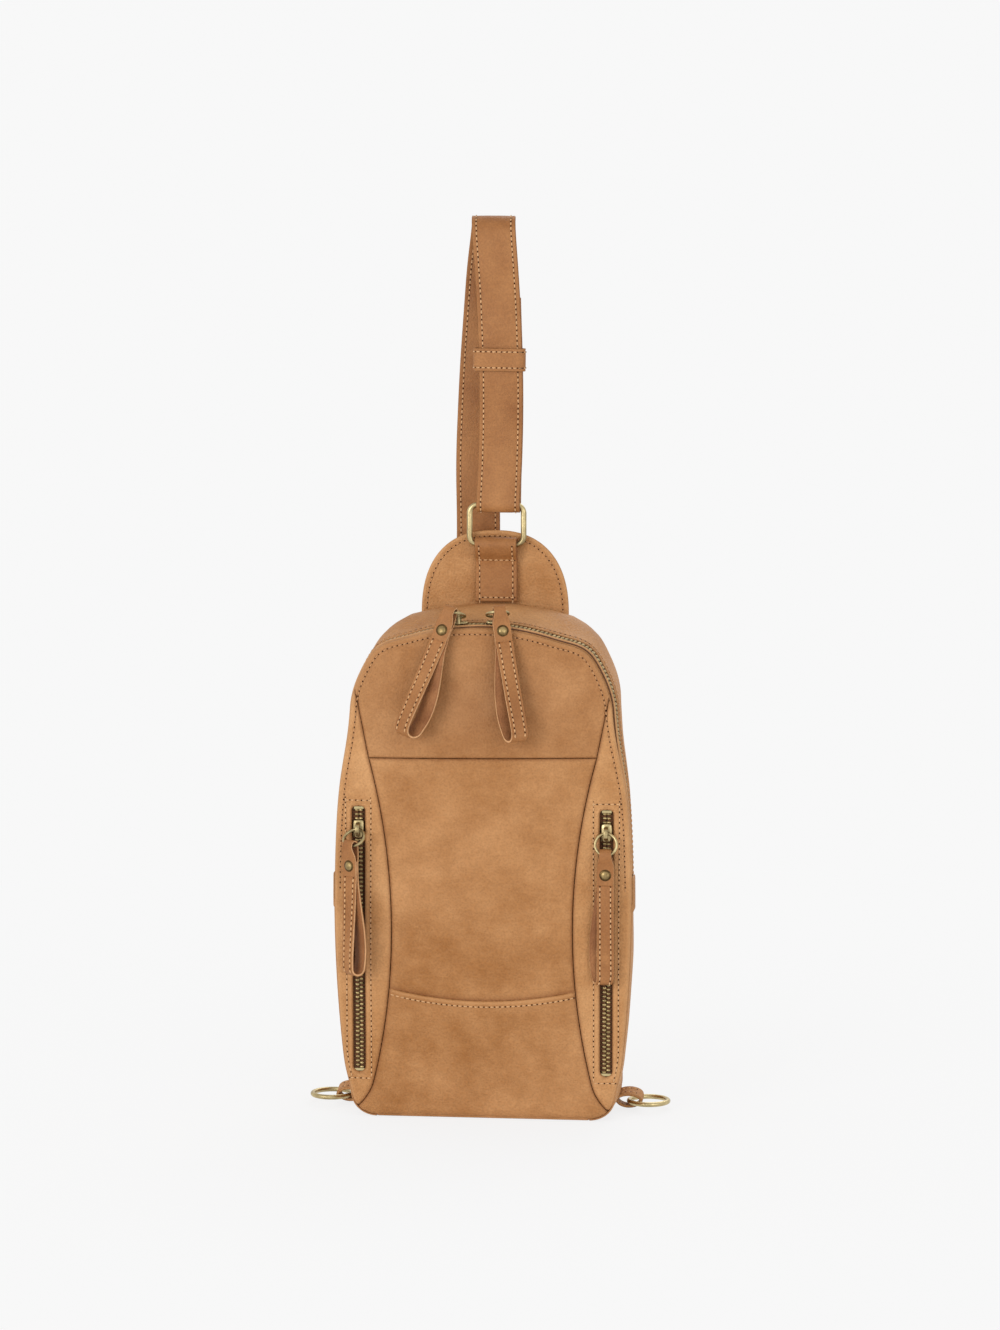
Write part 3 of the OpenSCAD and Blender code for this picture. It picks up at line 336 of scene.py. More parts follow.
# right half from the middle of the base to the top, with the outward directions
def halfOutline(step):
    count = int(cornerC[0] / step)
    xs = np.linspace(0, cornerC[0], count + 1)[:-1]
    points = [np.stack([xs, np.zeros(count)], 1)]
    normals = [np.tile([0.0, -1.0], (count, 1))]
    sideA0, sideA1, topA = bearing(sideC, cornerC), bearing(sideC, shoulderC), bearing(topC, shoulderC)
    arcs = ((cornerC, bag["cornerR"], -math.pi / 2, sideA0, step / 2),
            (sideC, bag["sideR"], sideA0, sideA1, step),
            (shoulderC, bag["shoulderR"], sideA1, topA, step),
            (topC, bag["topR"], topA, math.pi / 2, step))
    for k, arc in enumerate(arcs):
        p, n = arcRun(*arc)
        points.append(p[min(k, 1):])
        normals.append(n[min(k, 1):])
    return np.concatenate(points), np.concatenate(normals)


edgePoints, edgeNormals = halfOutline(1.6)
# stuffed outline: shoulders fuller, sides drawn in below them and above the base
stuffing = {"shoulder": 3.4, "shoulderX": 63.0, "shoulderSpread": 9.0, "flank": 2.1, "flankZ": 240.0,
            "flankSpread": 26.0, "flankFrom": 66.0, "foot": 1.9, "footZ": 17.0, "footSpread": 9.0,
            "soften": 9}


def stuffOutline():
    x, z = edgePoints.T
    fuller = hump(x, stuffing["shoulderX"], stuffing["shoulderSpread"]) * (z > stuffing["flankZ"])
    slimmer = hump(z, stuffing["flankZ"], stuffing["flankSpread"]) * (x > stuffing["flankFrom"])
    lower = hump(z, stuffing["footZ"], stuffing["footSpread"]) * (x > cornerC[0])
    shift = stuffing["shoulder"] * fuller - stuffing["flank"] * slimmer - stuffing["foot"] * lower
    return edgePoints + edgeNormals * average(shift, stuffing["soften"])[:, None]


edgePoints = stuffOutline()
zipAt = int(np.argmax(edgePoints[:, 1] > bag["zipEnd"]))  # the zip ends where the bag is widest
edgePoints = np.insert(edgePoints, zipAt, [sideC[0] + bag["sideR"], bag["zipEnd"]], axis=0)
edgeNormals = np.insert(edgeNormals, zipAt, [1.0, 0.0], axis=0)


def mirrorRun(half):
    return np.concatenate([half, half[-2::-1] * mirrorX])


def closedLoop(half):
    return np.concatenate([half, half[-2:0:-1] * mirrorX])


# the front is drawn in a little under the arch, so that the zip shows from in front, most on the right
archInset = {"edge": 0.5, "left": 0.9, "rightMore": 1.8, "fromX": -45.0, "toX": 5.0, "fromZ": 185.0,
             "toZ": 262.0}


def frontInset(flat):
    more = archInset["rightMore"] * smooth(archInset["fromX"], archInset["toX"], flat[..., 0])
    arch = smooth(archInset["fromZ"], archInset["toZ"], flat[..., 1])
    return archInset["edge"] + (archInset["left"] + more) * arch


# the back is a little narrower than the front, less so towards the top
backTaper = {"share": 0.066, "topLess": 0.7, "footTo": 45.0, "topFrom": 190.0}


def narrow(z, depth):
    share = backTaper["share"] * smooth(2, backTaper["footTo"], z)
    share = share * (1 - backTaper["topLess"] * smooth(backTaper["topFrom"], bag["height"], z))
    return 1 - share * smooth(bag["frontY"] + 4, bag["backY"] - 4, depth)


# seam between the middle and side panels: bowed to the waist, flared at the foot
def seamX(z):
    z = np.asarray(z, float)
    low = np.clip(z, 0, bag["yokeZ"])
    x = bag["waistHalf"] + bag["seamR"] - np.sqrt(bag["seamR"] ** 2 - (low - bag["waistZ"]) ** 2)
    flare = bag["seamFlare"] * np.clip((bag["flareZ"] - z) / bag["flareZ"], 0, 1) ** 2
    return x + bag["seamSlope"] * np.maximum(z - bag["yokeZ"], 0) + flare


def yokeLine(x):
    return bag["yokeZ"] + bag["yokeTilt"] * np.asarray(x, float)


def pocketSeamZ(u):
    return bag["pocketZ"] - bag["pocketSag"] * (1 - u * u)


loopPoints, loopNormals = mirrorRun(edgePoints), mirrorRun(edgeNormals)
frontLoop = loopPoints - loopNormals * frontInset(loopPoints)[:, None]
sideRuns = {s: np.array(sorted((q, s * p) for p, q in frontLoop if s * p > 50 and q < 292)) for s in (-1, 1)}


def frontEdgeX(z, side=1):
    return np.interp(z, sideRuns[side][:, 0], sideRuns[side][:, 1])


def seamEnd(side):
    return next(z for z in np.arange(240, 290, 0.25) if frontEdgeX(z, side) <= seamX(z) + 0.3)


seamFootZ = next(z for z in np.arange(20, 0, -0.05) if frontEdgeX(z) <= seamX(z) + 0.1)


# distance from points to a line of [x, z]
def nearest(points, line):
    flat = points.reshape(-1, 2)
    a, b = line[:-1], line[1:]
    d = b - a
    l2 = np.maximum((d * d).sum(1), 1e-9)
    best = []
    for p in np.array_split(flat, len(flat) // 2000 + 1):
        t = np.clip(((p[:, None] - a) * d).sum(2) / l2, 0, 1)
        q = a + t[..., None] * d
        best.append(np.sqrt(((p[:, None] - q) ** 2).sum(2).min(1)))
    return np.concatenate(best).reshape(points.shape[:-1])


# soft noise; each use has a fixed seed of its own
seeds = {"swell": 3.1, "dent": 8.7, "crease": 5.2, "gusset": 2.4, "back": 6.1, "strap": 1.7, "tab": 4.4,
         "pull": 9.3, "lining": 8.2, "gussetLining": 5.5}


def cloudNoise(a, b, size, use):
    a, b = np.broadcast_arrays(a, b)
    values = [noise.noise((x / size, y / size, seeds[use])) for x, y in zip(a.ravel(), b.ravel())]
    return np.array(values).reshape(a.shape)


# soft unevenness of the stuffed front, none at its edges and seams
softness = {"swell": 0.9, "swellSize": 62.0, "dent": 0.35, "dentSize": 26.0, "quiet": 9.0, "crease": 0.48,
            "creaseSize": 5.5, "creaseStretch": 0.34, "creaseX": 8.0, "creaseZ": 262.0}
farAway = 99.0


def frontDepth(x, z):
    x, z = np.asarray(x, float), np.asarray(z, float)
    across = np.cos(np.pi / 2 * np.minimum(abs(x) / (bag["width"] / 2), 1))
    y = bag["frontY"] - bag["crown"] * across * np.sin(np.pi * np.clip(z / bag["height"], 0, 1))
    seamGap = np.where((z > 2) & (z < 268), abs(abs(x) - seamX(z)), farAway)
    crossGap = np.minimum(abs(z - bag["yokeZ"]), abs(z - 75))
    inner = np.minimum(seamGap, np.where(abs(x) < seamX(z), crossGap, farAway))
    edge = nearest(np.stack([x, z], -1), frontLoop)
    quiet = smooth(0, softness["quiet"], np.minimum(inner, edge - 4))
    swell = softness["swell"] * cloudNoise(x, z, softness["swellSize"], "swell")
    dent = softness["dent"] * cloudNoise(x, z, softness["dentSize"], "dent")
    fine = softness["crease"] * cloudNoise(x, z * softness["creaseStretch"], softness["creaseSize"], "crease")
    fine = fine * hump(x, softness["creaseX"], 30) * hump(z, softness["creaseZ"], 22)
    return y + (swell + dent + fine) * quiet


def rollIn(d, reach, depth):
    t = np.clip(1 - np.asarray(d, float) / reach, 0, 1)
    return depth * (1 - np.sqrt(1 - t * t))


# steps from 0 to 1, finer towards both ends
def spaced(length, step, fine=(0, 0.25, 0.6, 1.0, 1.5, 2.1, 2.9, 4.0)):
    near = np.array(fine)
    if length < 2.4 * near[-1]:
        near = near * length / (2.4 * near[-1])
    count = max(2, int(round((length - 2 * near[-1]) / step)))
    middle = np.linspace(near[-1], length - near[-1], count + 1)[1:-1]
    return np.concatenate([near, middle, length - near[::-1]]) / length


def gridFaces(rows, cols, wrapRows=False, wrapCols=False):
    faces = []
    for i in range(rows if wrapRows else rows - 1):
        for j in range(cols if wrapCols else cols - 1):
            k = (j + 1) % cols
            n = (i + 1) % rows
            faces.append((i * cols + j, i * cols + k, n * cols + k, n * cols + j))
    return faces


def tubeFaces(rows, cols):
    ends = [tuple(range(cols)), tuple(range((rows - 1) * cols, rows * cols))]
    return gridFaces(rows, cols, wrapCols=True) + ends


# two sheets of one grid, and the strip that joins them round the edge
def sheetFaces(rows, cols):
    n = rows * cols
    sheet = gridFaces(rows, cols)
    rim = list(range(cols)) + [i * cols + cols - 1 for i in range(1, rows)]
    rim += [(rows - 1) * cols + k for k in range(cols - 2, -1, -1)]
    rim += [i * cols for i in range(rows - 2, 0, -1)]
    strip = [(a, b, b + n, a + n) for a, b in zip(rim, rim[1:] + rim[:1])]
    return sheet + [tuple(n + k for k in reversed(f)) for f in sheet], strip


def joinParts(parts):
    verts, faces, start = [], [], 0
    for v, f in parts:
        verts.append(np.asarray(v).reshape(-1, 3))
        faces += [tuple(start + k for k in q) for q in f]
        start += len(verts[-1])
    return np.concatenate(verts), faces


def settle(piece, body, replaced=()):
    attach(piece, body)
    if replaced:
        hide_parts(*replaced)
    return piece


bagCentre = Vector((0, 0, 0.15))


# builds an object from points in millimetres, sets it under its body and hides the solid parts it replaces;
# an open sheet, one that isn't solid, faces away from the middle of the bag
def addPiece(name, verts, faces, body, slotName, materials, replaced=(), faceSlots=None, attributes=None,
             solid=True):
    mesh = bpy.data.meshes.new(name)
    mesh.from_pydata((np.asarray(verts, float).reshape(-1, 3) * mm).tolist(), [], faces)
    for key, values in (attributes or {}).items():
        layer = mesh.attributes.new(key, "FLOAT", "POINT")
        layer.data.foreach_set("value", np.asarray(values, np.float32).ravel())
    for m in materials:
        mesh.materials.append(finishes[m])
    if faceSlots is not None:
        mesh.polygons.foreach_set("material_index", np.asarray(faceSlots, np.int32))
    work = bmesh.new()
    work.from_mesh(mesh)
    bmesh.ops.remove_doubles(work, verts=work.verts, dist=1e-7)
    bmesh.ops.delete(work, geom=[v for v in work.verts if not v.link_faces], context="VERTS")
    bmesh.ops.recalc_face_normals(work, faces=work.faces)
    if not solid:
        outward = sum((f.calc_center_median() - bagCentre).dot(f.normal) * f.calc_area() for f in work.faces)
        if outward < 0:
            bmesh.ops.reverse_faces(work, faces=work.faces)
    work.to_mesh(mesh)
    work.free()
    mesh.shade_smooth()
    return settle(addObject(name, mesh), body, replaced)


def thicken(piece, thickness):
    wall = piece.modifiers.new("wall", "SOLIDIFY")
    wall.thickness = thickness * mm
    wall.offset = -1
    wall.thickness_clamp = 1.0
    wall.material_offset = 1
    wall.material_offset_rim = 1


stitchRuns = {}


def sew(body, points, outward, thread="pale"):
    points = np.asarray(points, float)
    outward = np.broadcast_to(np.asarray(outward, float), points.shape)
    stitchRuns.setdefault((body, thread), []).append((points, outward))


# front panels: a grid of [x, z], given its depth, rolled edges and a wall
frontCut = {"edgeRoll": 2.4, "footRoll": 2.2, "seamReach": 2.8, "seamDepth": 1.15, "gap": 0.12, "wall": 1.5,
            "stitchIn": 3.5, "stitchDip": 0.28, "pocketLift": 1.0, "pocketStitch": 3.6, "tuck": 2.0}
towardsFront, towardsBack = (0, -1, 0), (0, 1, 0)


# a grid that fills the space between four lines
def coons(bottom, top, left, right, us, vs):
    u, v = np.meshgrid(us, vs, indexing="ij")
    u, v = u[..., None], v[..., None]
    b, t, l, r = bottom[:, None, :], top[:, None, :], left[None], right[None]
    corner = (1 - u) * (1 - v) * bottom[0] + u * (1 - v) * bottom[-1] + (1 - u) * v * top[0] + u * v * top[-1]
    return (1 - v) * b + v * t + (1 - u) * l + u * r - corner


def frontPanel(name, flat, faces, replaced, depth, shade, rub=0.0, hide="leather"):
    x, z = flat[..., 0], flat[..., 1]
    edge = nearest(flat, frontLoop)
    roll = frontCut["edgeRoll"] + frontCut["footRoll"] * (1 - smooth(2, 26, z))
    y = frontDepth(x, z) + rollIn(edge, roll, roll) + depth
    y = y + stitchDip(edge, frontCut["stitchIn"], frontCut["stitchDip"]) * smooth(132, 145, z)
    rubAndPaintedShade = {"rub": np.clip(rub + 0.9 * hump(edge, 0, 1.6), 0, 1), "shade": shade}
    piece = addPiece(name, atDepth(flat, y), faces, "bag", "leather", [hide, "cutEdge"], replaced,
                     attributes=rubAndPaintedShade, solid=False)
    thicken(piece, frontCut["wall"])


# the leather is drawn in along a stitch row
def stitchDip(d, at, depth=0.25):
    return depth * hump(d, at, 0.8)


def seamRoll(d):
    return rollIn(d, frontCut["seamReach"], frontCut["seamDepth"])


def seamShade(d):
    return hump(d, 0, 1.3)


def makeYoke():
    gap = frontCut["gap"]
    tops = {s: seamEnd(s) for s in (-1, 1)}
    run = [(p, q) for p, q in frontLoop if q > tops[1 if p > 0 else -1]]
    run = np.array([(seamX(tops[1]) - gap, tops[1])] + run + [(gap - seamX(tops[-1]), tops[-1])])[::-1]
    us, vs = spaced(140, 2.2), spaced(78, 2.2)
    footX = seamX(bag["yokeZ"]) - gap
    xs = (2 * us - 1) * footX
    sides = []
    for s in (-1, 1):
        start = yokeLine(s * footX) + gap
        zs = start + vs * (tops[s] - start)
        sides.append(np.stack([s * (seamX(zs) - gap), zs], 1))
    flat = coons(np.stack([xs, yokeLine(xs) + gap], 1), alongLine(run, us), *sides, us, vs)
    x, z = flat[..., 0], flat[..., 1]
    sideSeam = seamX(z) - abs(x) + np.where(z > min(tops.values()), farAway, 0)
    seam = np.minimum(sideSeam, z - yokeLine(x))
    rubAndPaintedShade = 0.26 + 0.34 * hump(x, 4, 34) * hump(z, 258, 22)  # painted shade over the whole yoke, darkest round and between the pulls
    frontPanel("yokeLeather", flat, gridFaces(len(us), len(vs)), ["front_yoke"], seamRoll(seam),
               np.maximum(seamShade(seam), rubAndPaintedShade))


def makeCentre():
    gap = frontCut["gap"]
    us, vs = spaced(120, 2.2), spaced(150, 2.4)
    u, v = np.meshgrid(2 * us - 1, vs, indexing="ij")
    low = pocketSeamZ(u) - frontCut["tuck"]  # the foot is tucked under the pocket edge
    z = low + v * (yokeLine(u * seamX(bag["yokeZ"])) - gap - low)
    x = u * (seamX(z) - gap)
    seam = np.minimum(seamX(z) - abs(x), yokeLine(x) - z)
    under = z - pocketSeamZ(u)
    frontPanel("centreLeather", np.stack([x, z], -1), gridFaces(len(us), len(vs)), ["front_centre_panel"],
               seamRoll(seam) + 0.7 * (1 - smooth(-1, 7, under)),
               np.maximum(seamShade(seam), 0.8 * hump(np.maximum(under, 0), 0, 2.0)))


def makeLower():
    gap = frontCut["gap"]
    us, vs = spaced(135, 2.2), spaced(76, 2.2)
    half = [(p, q) for p, q in frontLoop[:len(edgePoints)] if q < seamFootZ - 0.2 and p < 90]
    half = np.array(half + [(seamX(seamFootZ) - gap, seamFootZ)])
    bottom = alongLine(np.concatenate([half[:0:-1] * mirrorX, half]), us)
    top = np.stack([(2 * us - 1) * (seamX(bag["pocketZ"]) - gap), pocketSeamZ(2 * us - 1)], 1)
    zs = seamFootZ + vs * (bag["pocketZ"] - seamFootZ)
    side = np.stack([seamX(zs) - gap, zs], 1)
    flat = coons(bottom, top, side * mirrorX, side, us, vs)
    x, z = flat[..., 0], flat[..., 1]
    seam = np.where(z > seamFootZ, np.maximum(seamX(z) - abs(x), 0),
                    np.hypot(abs(x) - seamX(seamFootZ), z - seamFootZ))
    fold = pocketSeamZ(x / seamX(bag["pocketZ"])) - z
    lift = frontCut["pocketLift"] * (1 - smooth(2, 26, fold)) * smooth(0, 7, seam)
    depth = seamRoll(seam) - lift + rollIn(fold, 1.5, 1.7) + stitchDip(fold, frontCut["pocketStitch"])
    frontPanel("lowerPocketLeather", flat, gridFaces(len(us), len(vs)), ["front_lower_panel"], depth,
               seamShade(seam), 0.8 * hump(fold, 1.2, 1.0))
    line = np.linspace(-0.955, 0.955, 120)
    rowZ = pocketSeamZ(line) - frontCut["pocketStitch"]
    rowX = line * seamX(rowZ)
    raised = frontCut["pocketLift"] * smooth(0, 7, seamX(rowZ) - abs(rowX))
    sew("bag", np.stack([rowX, frontDepth(rowX, rowZ) - raised + 0.2, rowZ], 1), towardsFront)


# side panels, each with a slot for its pocket zip
slotCut = {"x": 76.0, "top": 193.0, "bottom": 28.0, "halfTop": 4.1, "halfBottom": 3.75, "lipReach": 1.6,
           "lipDepth": 1.7, "frame": 3.8, "footFrame": 4.0, "topRound": 2.6, "topRow": (-7.2, 7.2),
           "footRow": (-6.0, 4.5)}


# half the width of the slot, before its ends are rounded
def slotSpread(z):
    share = smooth(0.55, 1, (z - slotCut["bottom"]) / (slotCut["top"] - slotCut["bottom"]))
    return slotCut["halfBottom"] + (slotCut["halfTop"] - slotCut["halfBottom"]) * share


def slotHalf(z):
    low = np.clip((z - slotCut["bottom"]) / slotCut["halfBottom"], 0, 1)
    high = np.clip((slotCut["top"] - z) / slotCut["topRound"], 0, 1)
    half = slotSpread(z) * np.sqrt(1 - (1 - low) ** 2)
    return half - slotCut["topRound"] * (1 - np.sqrt(1 - (1 - high) ** 2))


def makeSide(side, name, node):
    bottom, top, frameIn = slotCut["bottom"], slotCut["top"], slotCut["frame"]
    topZ = next(z for z in np.arange(seamEnd(side), 230, -0.2) if frontEdgeX(z, side) - seamX(z) > 0.9)
    footSteps = slotCut["halfBottom"] * (1 - np.cos(np.linspace(0, math.pi / 2, 7)))
    headSteps = slotCut["topRound"] * (1 - np.cos(np.linspace(0, math.pi / 2, 6)))
    zs = np.unique(np.round(np.concatenate([
        np.linspace(seamFootZ + 0.5, bottom, 13), bottom + footSteps, np.linspace(bottom + 5, top - 4, 62),
        top - headSteps[::-1], [top + 0.001], np.linspace(top + 1.2, topZ, 25)]), 4))
    inner = seamX(zs) + frontCut["gap"]
    outer = np.maximum(frontEdgeX(zs, side), inner + 0.02)
    inSlot = (zs >= bottom) & (zs <= top)
    half = np.where(inSlot, np.maximum(slotHalf(zs), 0), 0)
    centre = np.clip(slotCut["x"], inner + 0.4 * (outer - inner), inner + 0.6 * (outer - inner))
    steps = spaced(14, 1.5, (0, 0.3, 0.7, 1.2, 1.8, 2.6))
    left = inner[:, None] + steps * (centre - half - inner)[:, None]
    right = (centre + half)[:, None] + steps * (outer - centre - half)[:, None]
    x = np.concatenate([left, right], 1)
    cols = x.shape[1]
    faces = [f for f in gridFaces(len(zs), cols) if f[0] % cols != len(steps) - 1]
    flat = np.stack([x, np.repeat(zs[:, None], cols, 1)], -1)
    hole = [(slotCut["x"] + s * float(slotHalf(q)), q) for s in (-1, 1) for q in zs[inSlot][::s]]
    lip = nearest(flat, np.array(hole + hole[:1]))
    seam = x - inner[:, None]
    depth = seamRoll(seam) + rollIn(lip, slotCut["lipReach"], slotCut["lipDepth"]) + stitchDip(lip, frameIn)
    frontPanel(name, flat * np.array([side, 1.0]), faces, [node], depth,
               np.maximum(seamShade(seam), 0.7 * hump(lip, 0, 0.9)), 0.5 * hump(lip, 1.6, 0.9), "paleLeather")
    rowZ = np.linspace(bottom - 2, top + frameIn, 120)
    rows = [(np.minimum(slotCut["x"] + s * (slotSpread(rowZ) + frameIn), frontEdgeX(rowZ, side) - 2.6), rowZ)
            for s in (-1, 1)]
    rows += [(slotCut["x"] + np.linspace(*slotCut[span], 12), np.full(12, z))
             for span, z in (("topRow", top + frameIn), ("footRow", bottom - slotCut["footFrame"]))]
    for rowX, z in rows:
        sew("bag", np.stack([side * rowX, frontDepth(side * rowX, z) + 0.15, z], 1), towardsFront)


makeYoke()
makeCentre()
makeLower()
makeSide(1, "rightSideLeather", "right_side_panel")
makeSide(-1, "leftSideLeather", "left_side_panel")
print("front panels made")

# pieces that follow the outline: a cross-section of (depth y, distance out) carried along the edge
archHalf = (edgePoints[:, 1] >= bag["zipEnd"] - 0.01) & (edgePoints[:, 0] >= 0)
archPoints, archNormals = mirrorRun(edgePoints[archHalf]), mirrorRun(edgeNormals[archHalf])


def edgeBand(name, points, normals, section, replaced, wall, shade, rub, wave=0.0, crown=None):
    section = np.asarray(section, float)
    rows, cols = len(points), len(section)
    out = np.repeat(section[None, :, 1], rows, 0)
    depth = np.repeat(section[None, :, 0], rows, 0)
    bound = section.shape[1] > 2  # third value: how much the front inset moves the point in
    if bound:
        out = out - section[None, :, 2] * frontInset(points)[:, None]
    if crown is not None:
        rise = np.interp(abs(points[:, 0]), *crown) * (points[:, 1] > 235)
        out = out + rise[:, None] * smooth(-19, 9, depth) * (1 - smooth(26, 34, depth))
    if wave:
        far = np.minimum(depth - section[0, 0], section[-1, 0] - depth)
        uneven = wave * cloudNoise(runLength(points)[:, None], depth, gusset["waveSize"], "gusset")
        out = out + uneven * smooth(2, 12, far)
    out = np.where(out > 0, out * smooth(-1, 15, points[:, 1])[:, None], out)
    x = points[:, 0, None] + normals[:, 0, None] * out
    z = points[:, 1, None] + normals[:, 1, None] * out
    if not bound:
        x = x * narrow(z, depth)
    rubAndPaintedShade = {"shade": np.tile(shade, (rows, 1)), "rub": np.tile(rub, (rows, 1))}
    piece = addPiece(name, np.stack([x, depth, z], -1), gridFaces(rows, cols), "bag", "leather",
                     ["paleLeather", "cutEdge"], replaced, attributes=rubAndPaintedShade, solid=False)
    thicken(piece, wall)


# crown: how far the stuffed top stands up, by the distance from the middle
gusset = {"crown": ((0, 38, 48, 56, 63, 70, 78), (5.0, 6.4, 6.8, 4.6, 2.2, 0.8, 0.0)), "wall": 1.5,
          "pillow": 0.9, "wave": 0.7, "waveSize": 34.0, "frontFold": -20.6, "rear": 33.6, "stitchIn": 3.4,
          "lowFront": -33.3, "proud": 0.12}


def gussetSection(front, fold):
    rear = gusset["rear"]
    ys = np.concatenate([front + np.array([0, 0.3, 0.8, 1.5, 2.4, 3.4, 4.4, 5.8]),
                         np.linspace(front + 8, rear - 8, 14),
                         rear - np.array([5.8, 4.2, 2.9, 1.9, 1.1, 0.5, 0.15, 0])])
    out = gusset["pillow"] * smooth(2, 22, np.minimum(ys - front, rear - ys)) + gusset["proud"]
    out = out - rollIn(ys - front, 1.3, 1.3 if fold else 1.0) - rollIn(rear - ys, 2.2, 2.0)
    if fold:
        out = out - stitchDip(ys - front, gusset["stitchIn"])
    shade = 0.7 * hump(rear - ys, 0, 1.2) + 0.5 * hump(ys - front, 0, 0.8)
    return np.stack([ys, out], 1), shade, 0.7 * hump(ys - front, 1.2, 1.0)


section, shade, rub = gussetSection(gusset["frontFold"], True)
edgeBand("topGussetLeather", archPoints, archNormals, section, ["top_gusset"], gusset["wall"], shade, rub,
         gusset["wave"], gusset["crown"])
foldY = gusset["frontFold"] + gusset["stitchIn"]
foldRow = archPoints + archNormals * gusset["proud"]
foldRow[:, 0] *= narrow(foldRow[:, 1], foldY)
sew("bag", atDepth(foldRow, foldY)[3:-3], atDepth(archNormals, 0.0)[3:-3], "tan")

lowHalf = (edgePoints[:, 1] <= bag["zipEnd"] + 0.01) & (edgePoints[:, 0] > cornerC[0] - 1.0)
section, shade, rub = gussetSection(gusset["lowFront"], False)
for side, name, node in ((1, "rightGussetLeather", "right_gusset"), (-1, "leftGussetLeather", "left_gusset")):
    flip = np.array([side, 1.0])
    edgeBand(name, edgePoints[lowHalf] * flip, edgeNormals[lowHalf] * flip, section, [node], gusset["wall"],
             shade, rub, gusset["wave"])

# turned strip between the front and the main zip: depth, distance out, share of the inset, shade and rub
binding = {"wall": 1.2, "strip": np.array([
    (-33.6, -0.6, 1.0, 0.9, 0), (-33.3, -0.15, 1.0, 0.6, 0), (-32.7, 0.1, 0.92, 0.2, 0.3),
    (-32.0, 0.2, 0.72, 0, 0.6), (-31.2, 0.2, 0.5, 0, 0.5), (-30.6, 0.1, 0.36, 0, 0.6),
    (-30.15, -0.15, 0.3, 0.1, 0.5), (-29.95, -0.5, 0.28, 0.3, 0.2), (-29.9, -1.0, 0.28, 0.6, 0),
    (-30.0, -1.6, 0.28, 0.8, 0)])}
edgeBand("bindingLeather", archPoints, archNormals, binding["strip"][:, :3], ["front_binding"],
         binding["wall"], binding["strip"][:, 3], binding["strip"][:, 4])

# stitch row of the front, just inside its edge
rowPoints = archPoints - archNormals * (frontInset(archPoints) + frontCut["stitchIn"])[:, None]
rowDepth = frontDepth(rowPoints[:, 0], rowPoints[:, 1]) + 0.2
sew("bag", atDepth(rowPoints, rowDepth)[6:-6], atDepth(archNormals * 0.2, -1.0)[6:-6], "tan")
print("gusset and binding made")

# back: rings of the outline that close on a line down the middle
backCut = {"wall": 1.6, "roll": 2.2, "pillow": 0.8, "uneven": 0.3, "unevenSize": 40.0, "stitchIn": 4.6,
           "stitchDip": 0.28, "rings": 21, "insets": (0.35, 0.5, 0.8, 1.2, 1.8, 2.6, 3.6, 4.6, 5.6, 7.0)}


def makeBack():
    loop, normals = closedLoop(edgePoints), closedLoop(edgeNormals)
    loop[:, 0] *= narrow(loop[:, 1], bag["backY"])
    insets = backCut["insets"]
    rings = [loop - normals * m for m in insets]
    last = rings[-1]
    heart = np.stack([np.zeros(len(loop)), np.clip(loop[:, 1], 60, 240)], 1)
    rings += [last + (heart - last) * t for t in np.linspace(0, 1, backCut["rings"] + 1)[1:]]
    flat = np.array(rings)
    edge = insets[-1] + nearest(flat, last)
    edge[:len(insets)] = np.array(insets)[:, None]
    below = 1 - smooth(225, 262, flat[..., 1])  # flat where the top tab is sewn on
    y = bag["backY"] - rollIn(edge - insets[0], backCut["roll"], backCut["roll"])
    y = y + backCut["pillow"] * smooth(6, 40, edge) * below
    y = y - stitchDip(edge, backCut["stitchIn"], backCut["stitchDip"])
    uneven = backCut["uneven"] * cloudNoise(flat[..., 0], flat[..., 1], backCut["unevenSize"], "back")
    y = y + uneven * smooth(8, 24, edge) * below
    rubAndPaintedShade = {"rub": 0.8 * hump(edge, 1.4, 1.2), "shade": 0.6 * hump(edge, 0, 0.8)}
    piece = addPiece("backLeather", atDepth(flat, y), gridFaces(len(rings), len(loop), wrapCols=True), "bag",
                     "leather", ["leather", "cutEdge"], ["back_panel"], attributes=rubAndPaintedShade, solid=False)
    thicken(piece, backCut["wall"])
    row = loop - normals * backCut["stitchIn"]
    sew("bag", atDepth(np.concatenate([row, row[:1]]), bag["backY"] - 0.2), towardsBack, "tan")


baseCut = {"halfY": 33.5, "lift": 0.02, "wall": 1.5}


def makeBase():
    halfX, halfY = cornerC[0], baseCut["halfY"]
    xs = spaced(2 * halfX, 4.0) * 2 * halfX - halfX
    ys = spaced(2 * halfY, 3.5) * 2 * halfY - halfY
    x, y = np.meshgrid(xs, ys, indexing="ij")
    edge, end = halfY - abs(y), halfX - abs(x)
    z = baseCut["lift"] + rollIn(edge, 2.0, 1.4) + 0.4 * hump(end, 0, 0.8)
    rubAndPaintedShade = {"rub": 0.5 * hump(edge, 1.5, 1.2), "shade": 0.7 * hump(end, 0, 1.2)}
    piece = addPiece("baseLeather", np.stack([x, y, z], -1), gridFaces(len(xs), len(ys)), "bag", "leather",
                     ["leather", "cutEdge"], ["base_panel"], attributes=rubAndPaintedShade, solid=False)
    thicken(piece, baseCut["wall"])


makeBack()
makeBase()
print("back and base made")


# flat bands swept along a path: strap, anchor, keeper, pulls and tabs
bandAcross = (-1, -0.985, -0.94, -0.87, -0.8, -0.74, -0.6, -0.3, 0, 0.3, 0.6, 0.74, 0.8, 0.87, 0.94, 0.985, 1)
frontFace, cutFace, rearFace = 0, 1, 2


# columns of the cross-section: place across, place through, height added, which face
def bandProfile(groove, crown):
    height = [crown * (1 - a * a) - groove * math.exp(-((abs(a) - 0.8) / 0.06) ** 2) for a in bandAcross]
    cols = [(a, 0.5, h, frontFace) for a, h in zip(bandAcross, height)]
    cols += [(1, 0.2, 0.0, cutFace), (1, -0.2, 0.0, cutFace)]
    cols += [(a, -0.5, -h, rearFace) for a, h in zip(bandAcross[::-1], height[::-1])]
    return cols + [(-1, -0.2, 0.0, cutFace), (-1, 0.2, 0.0, cutFace)]


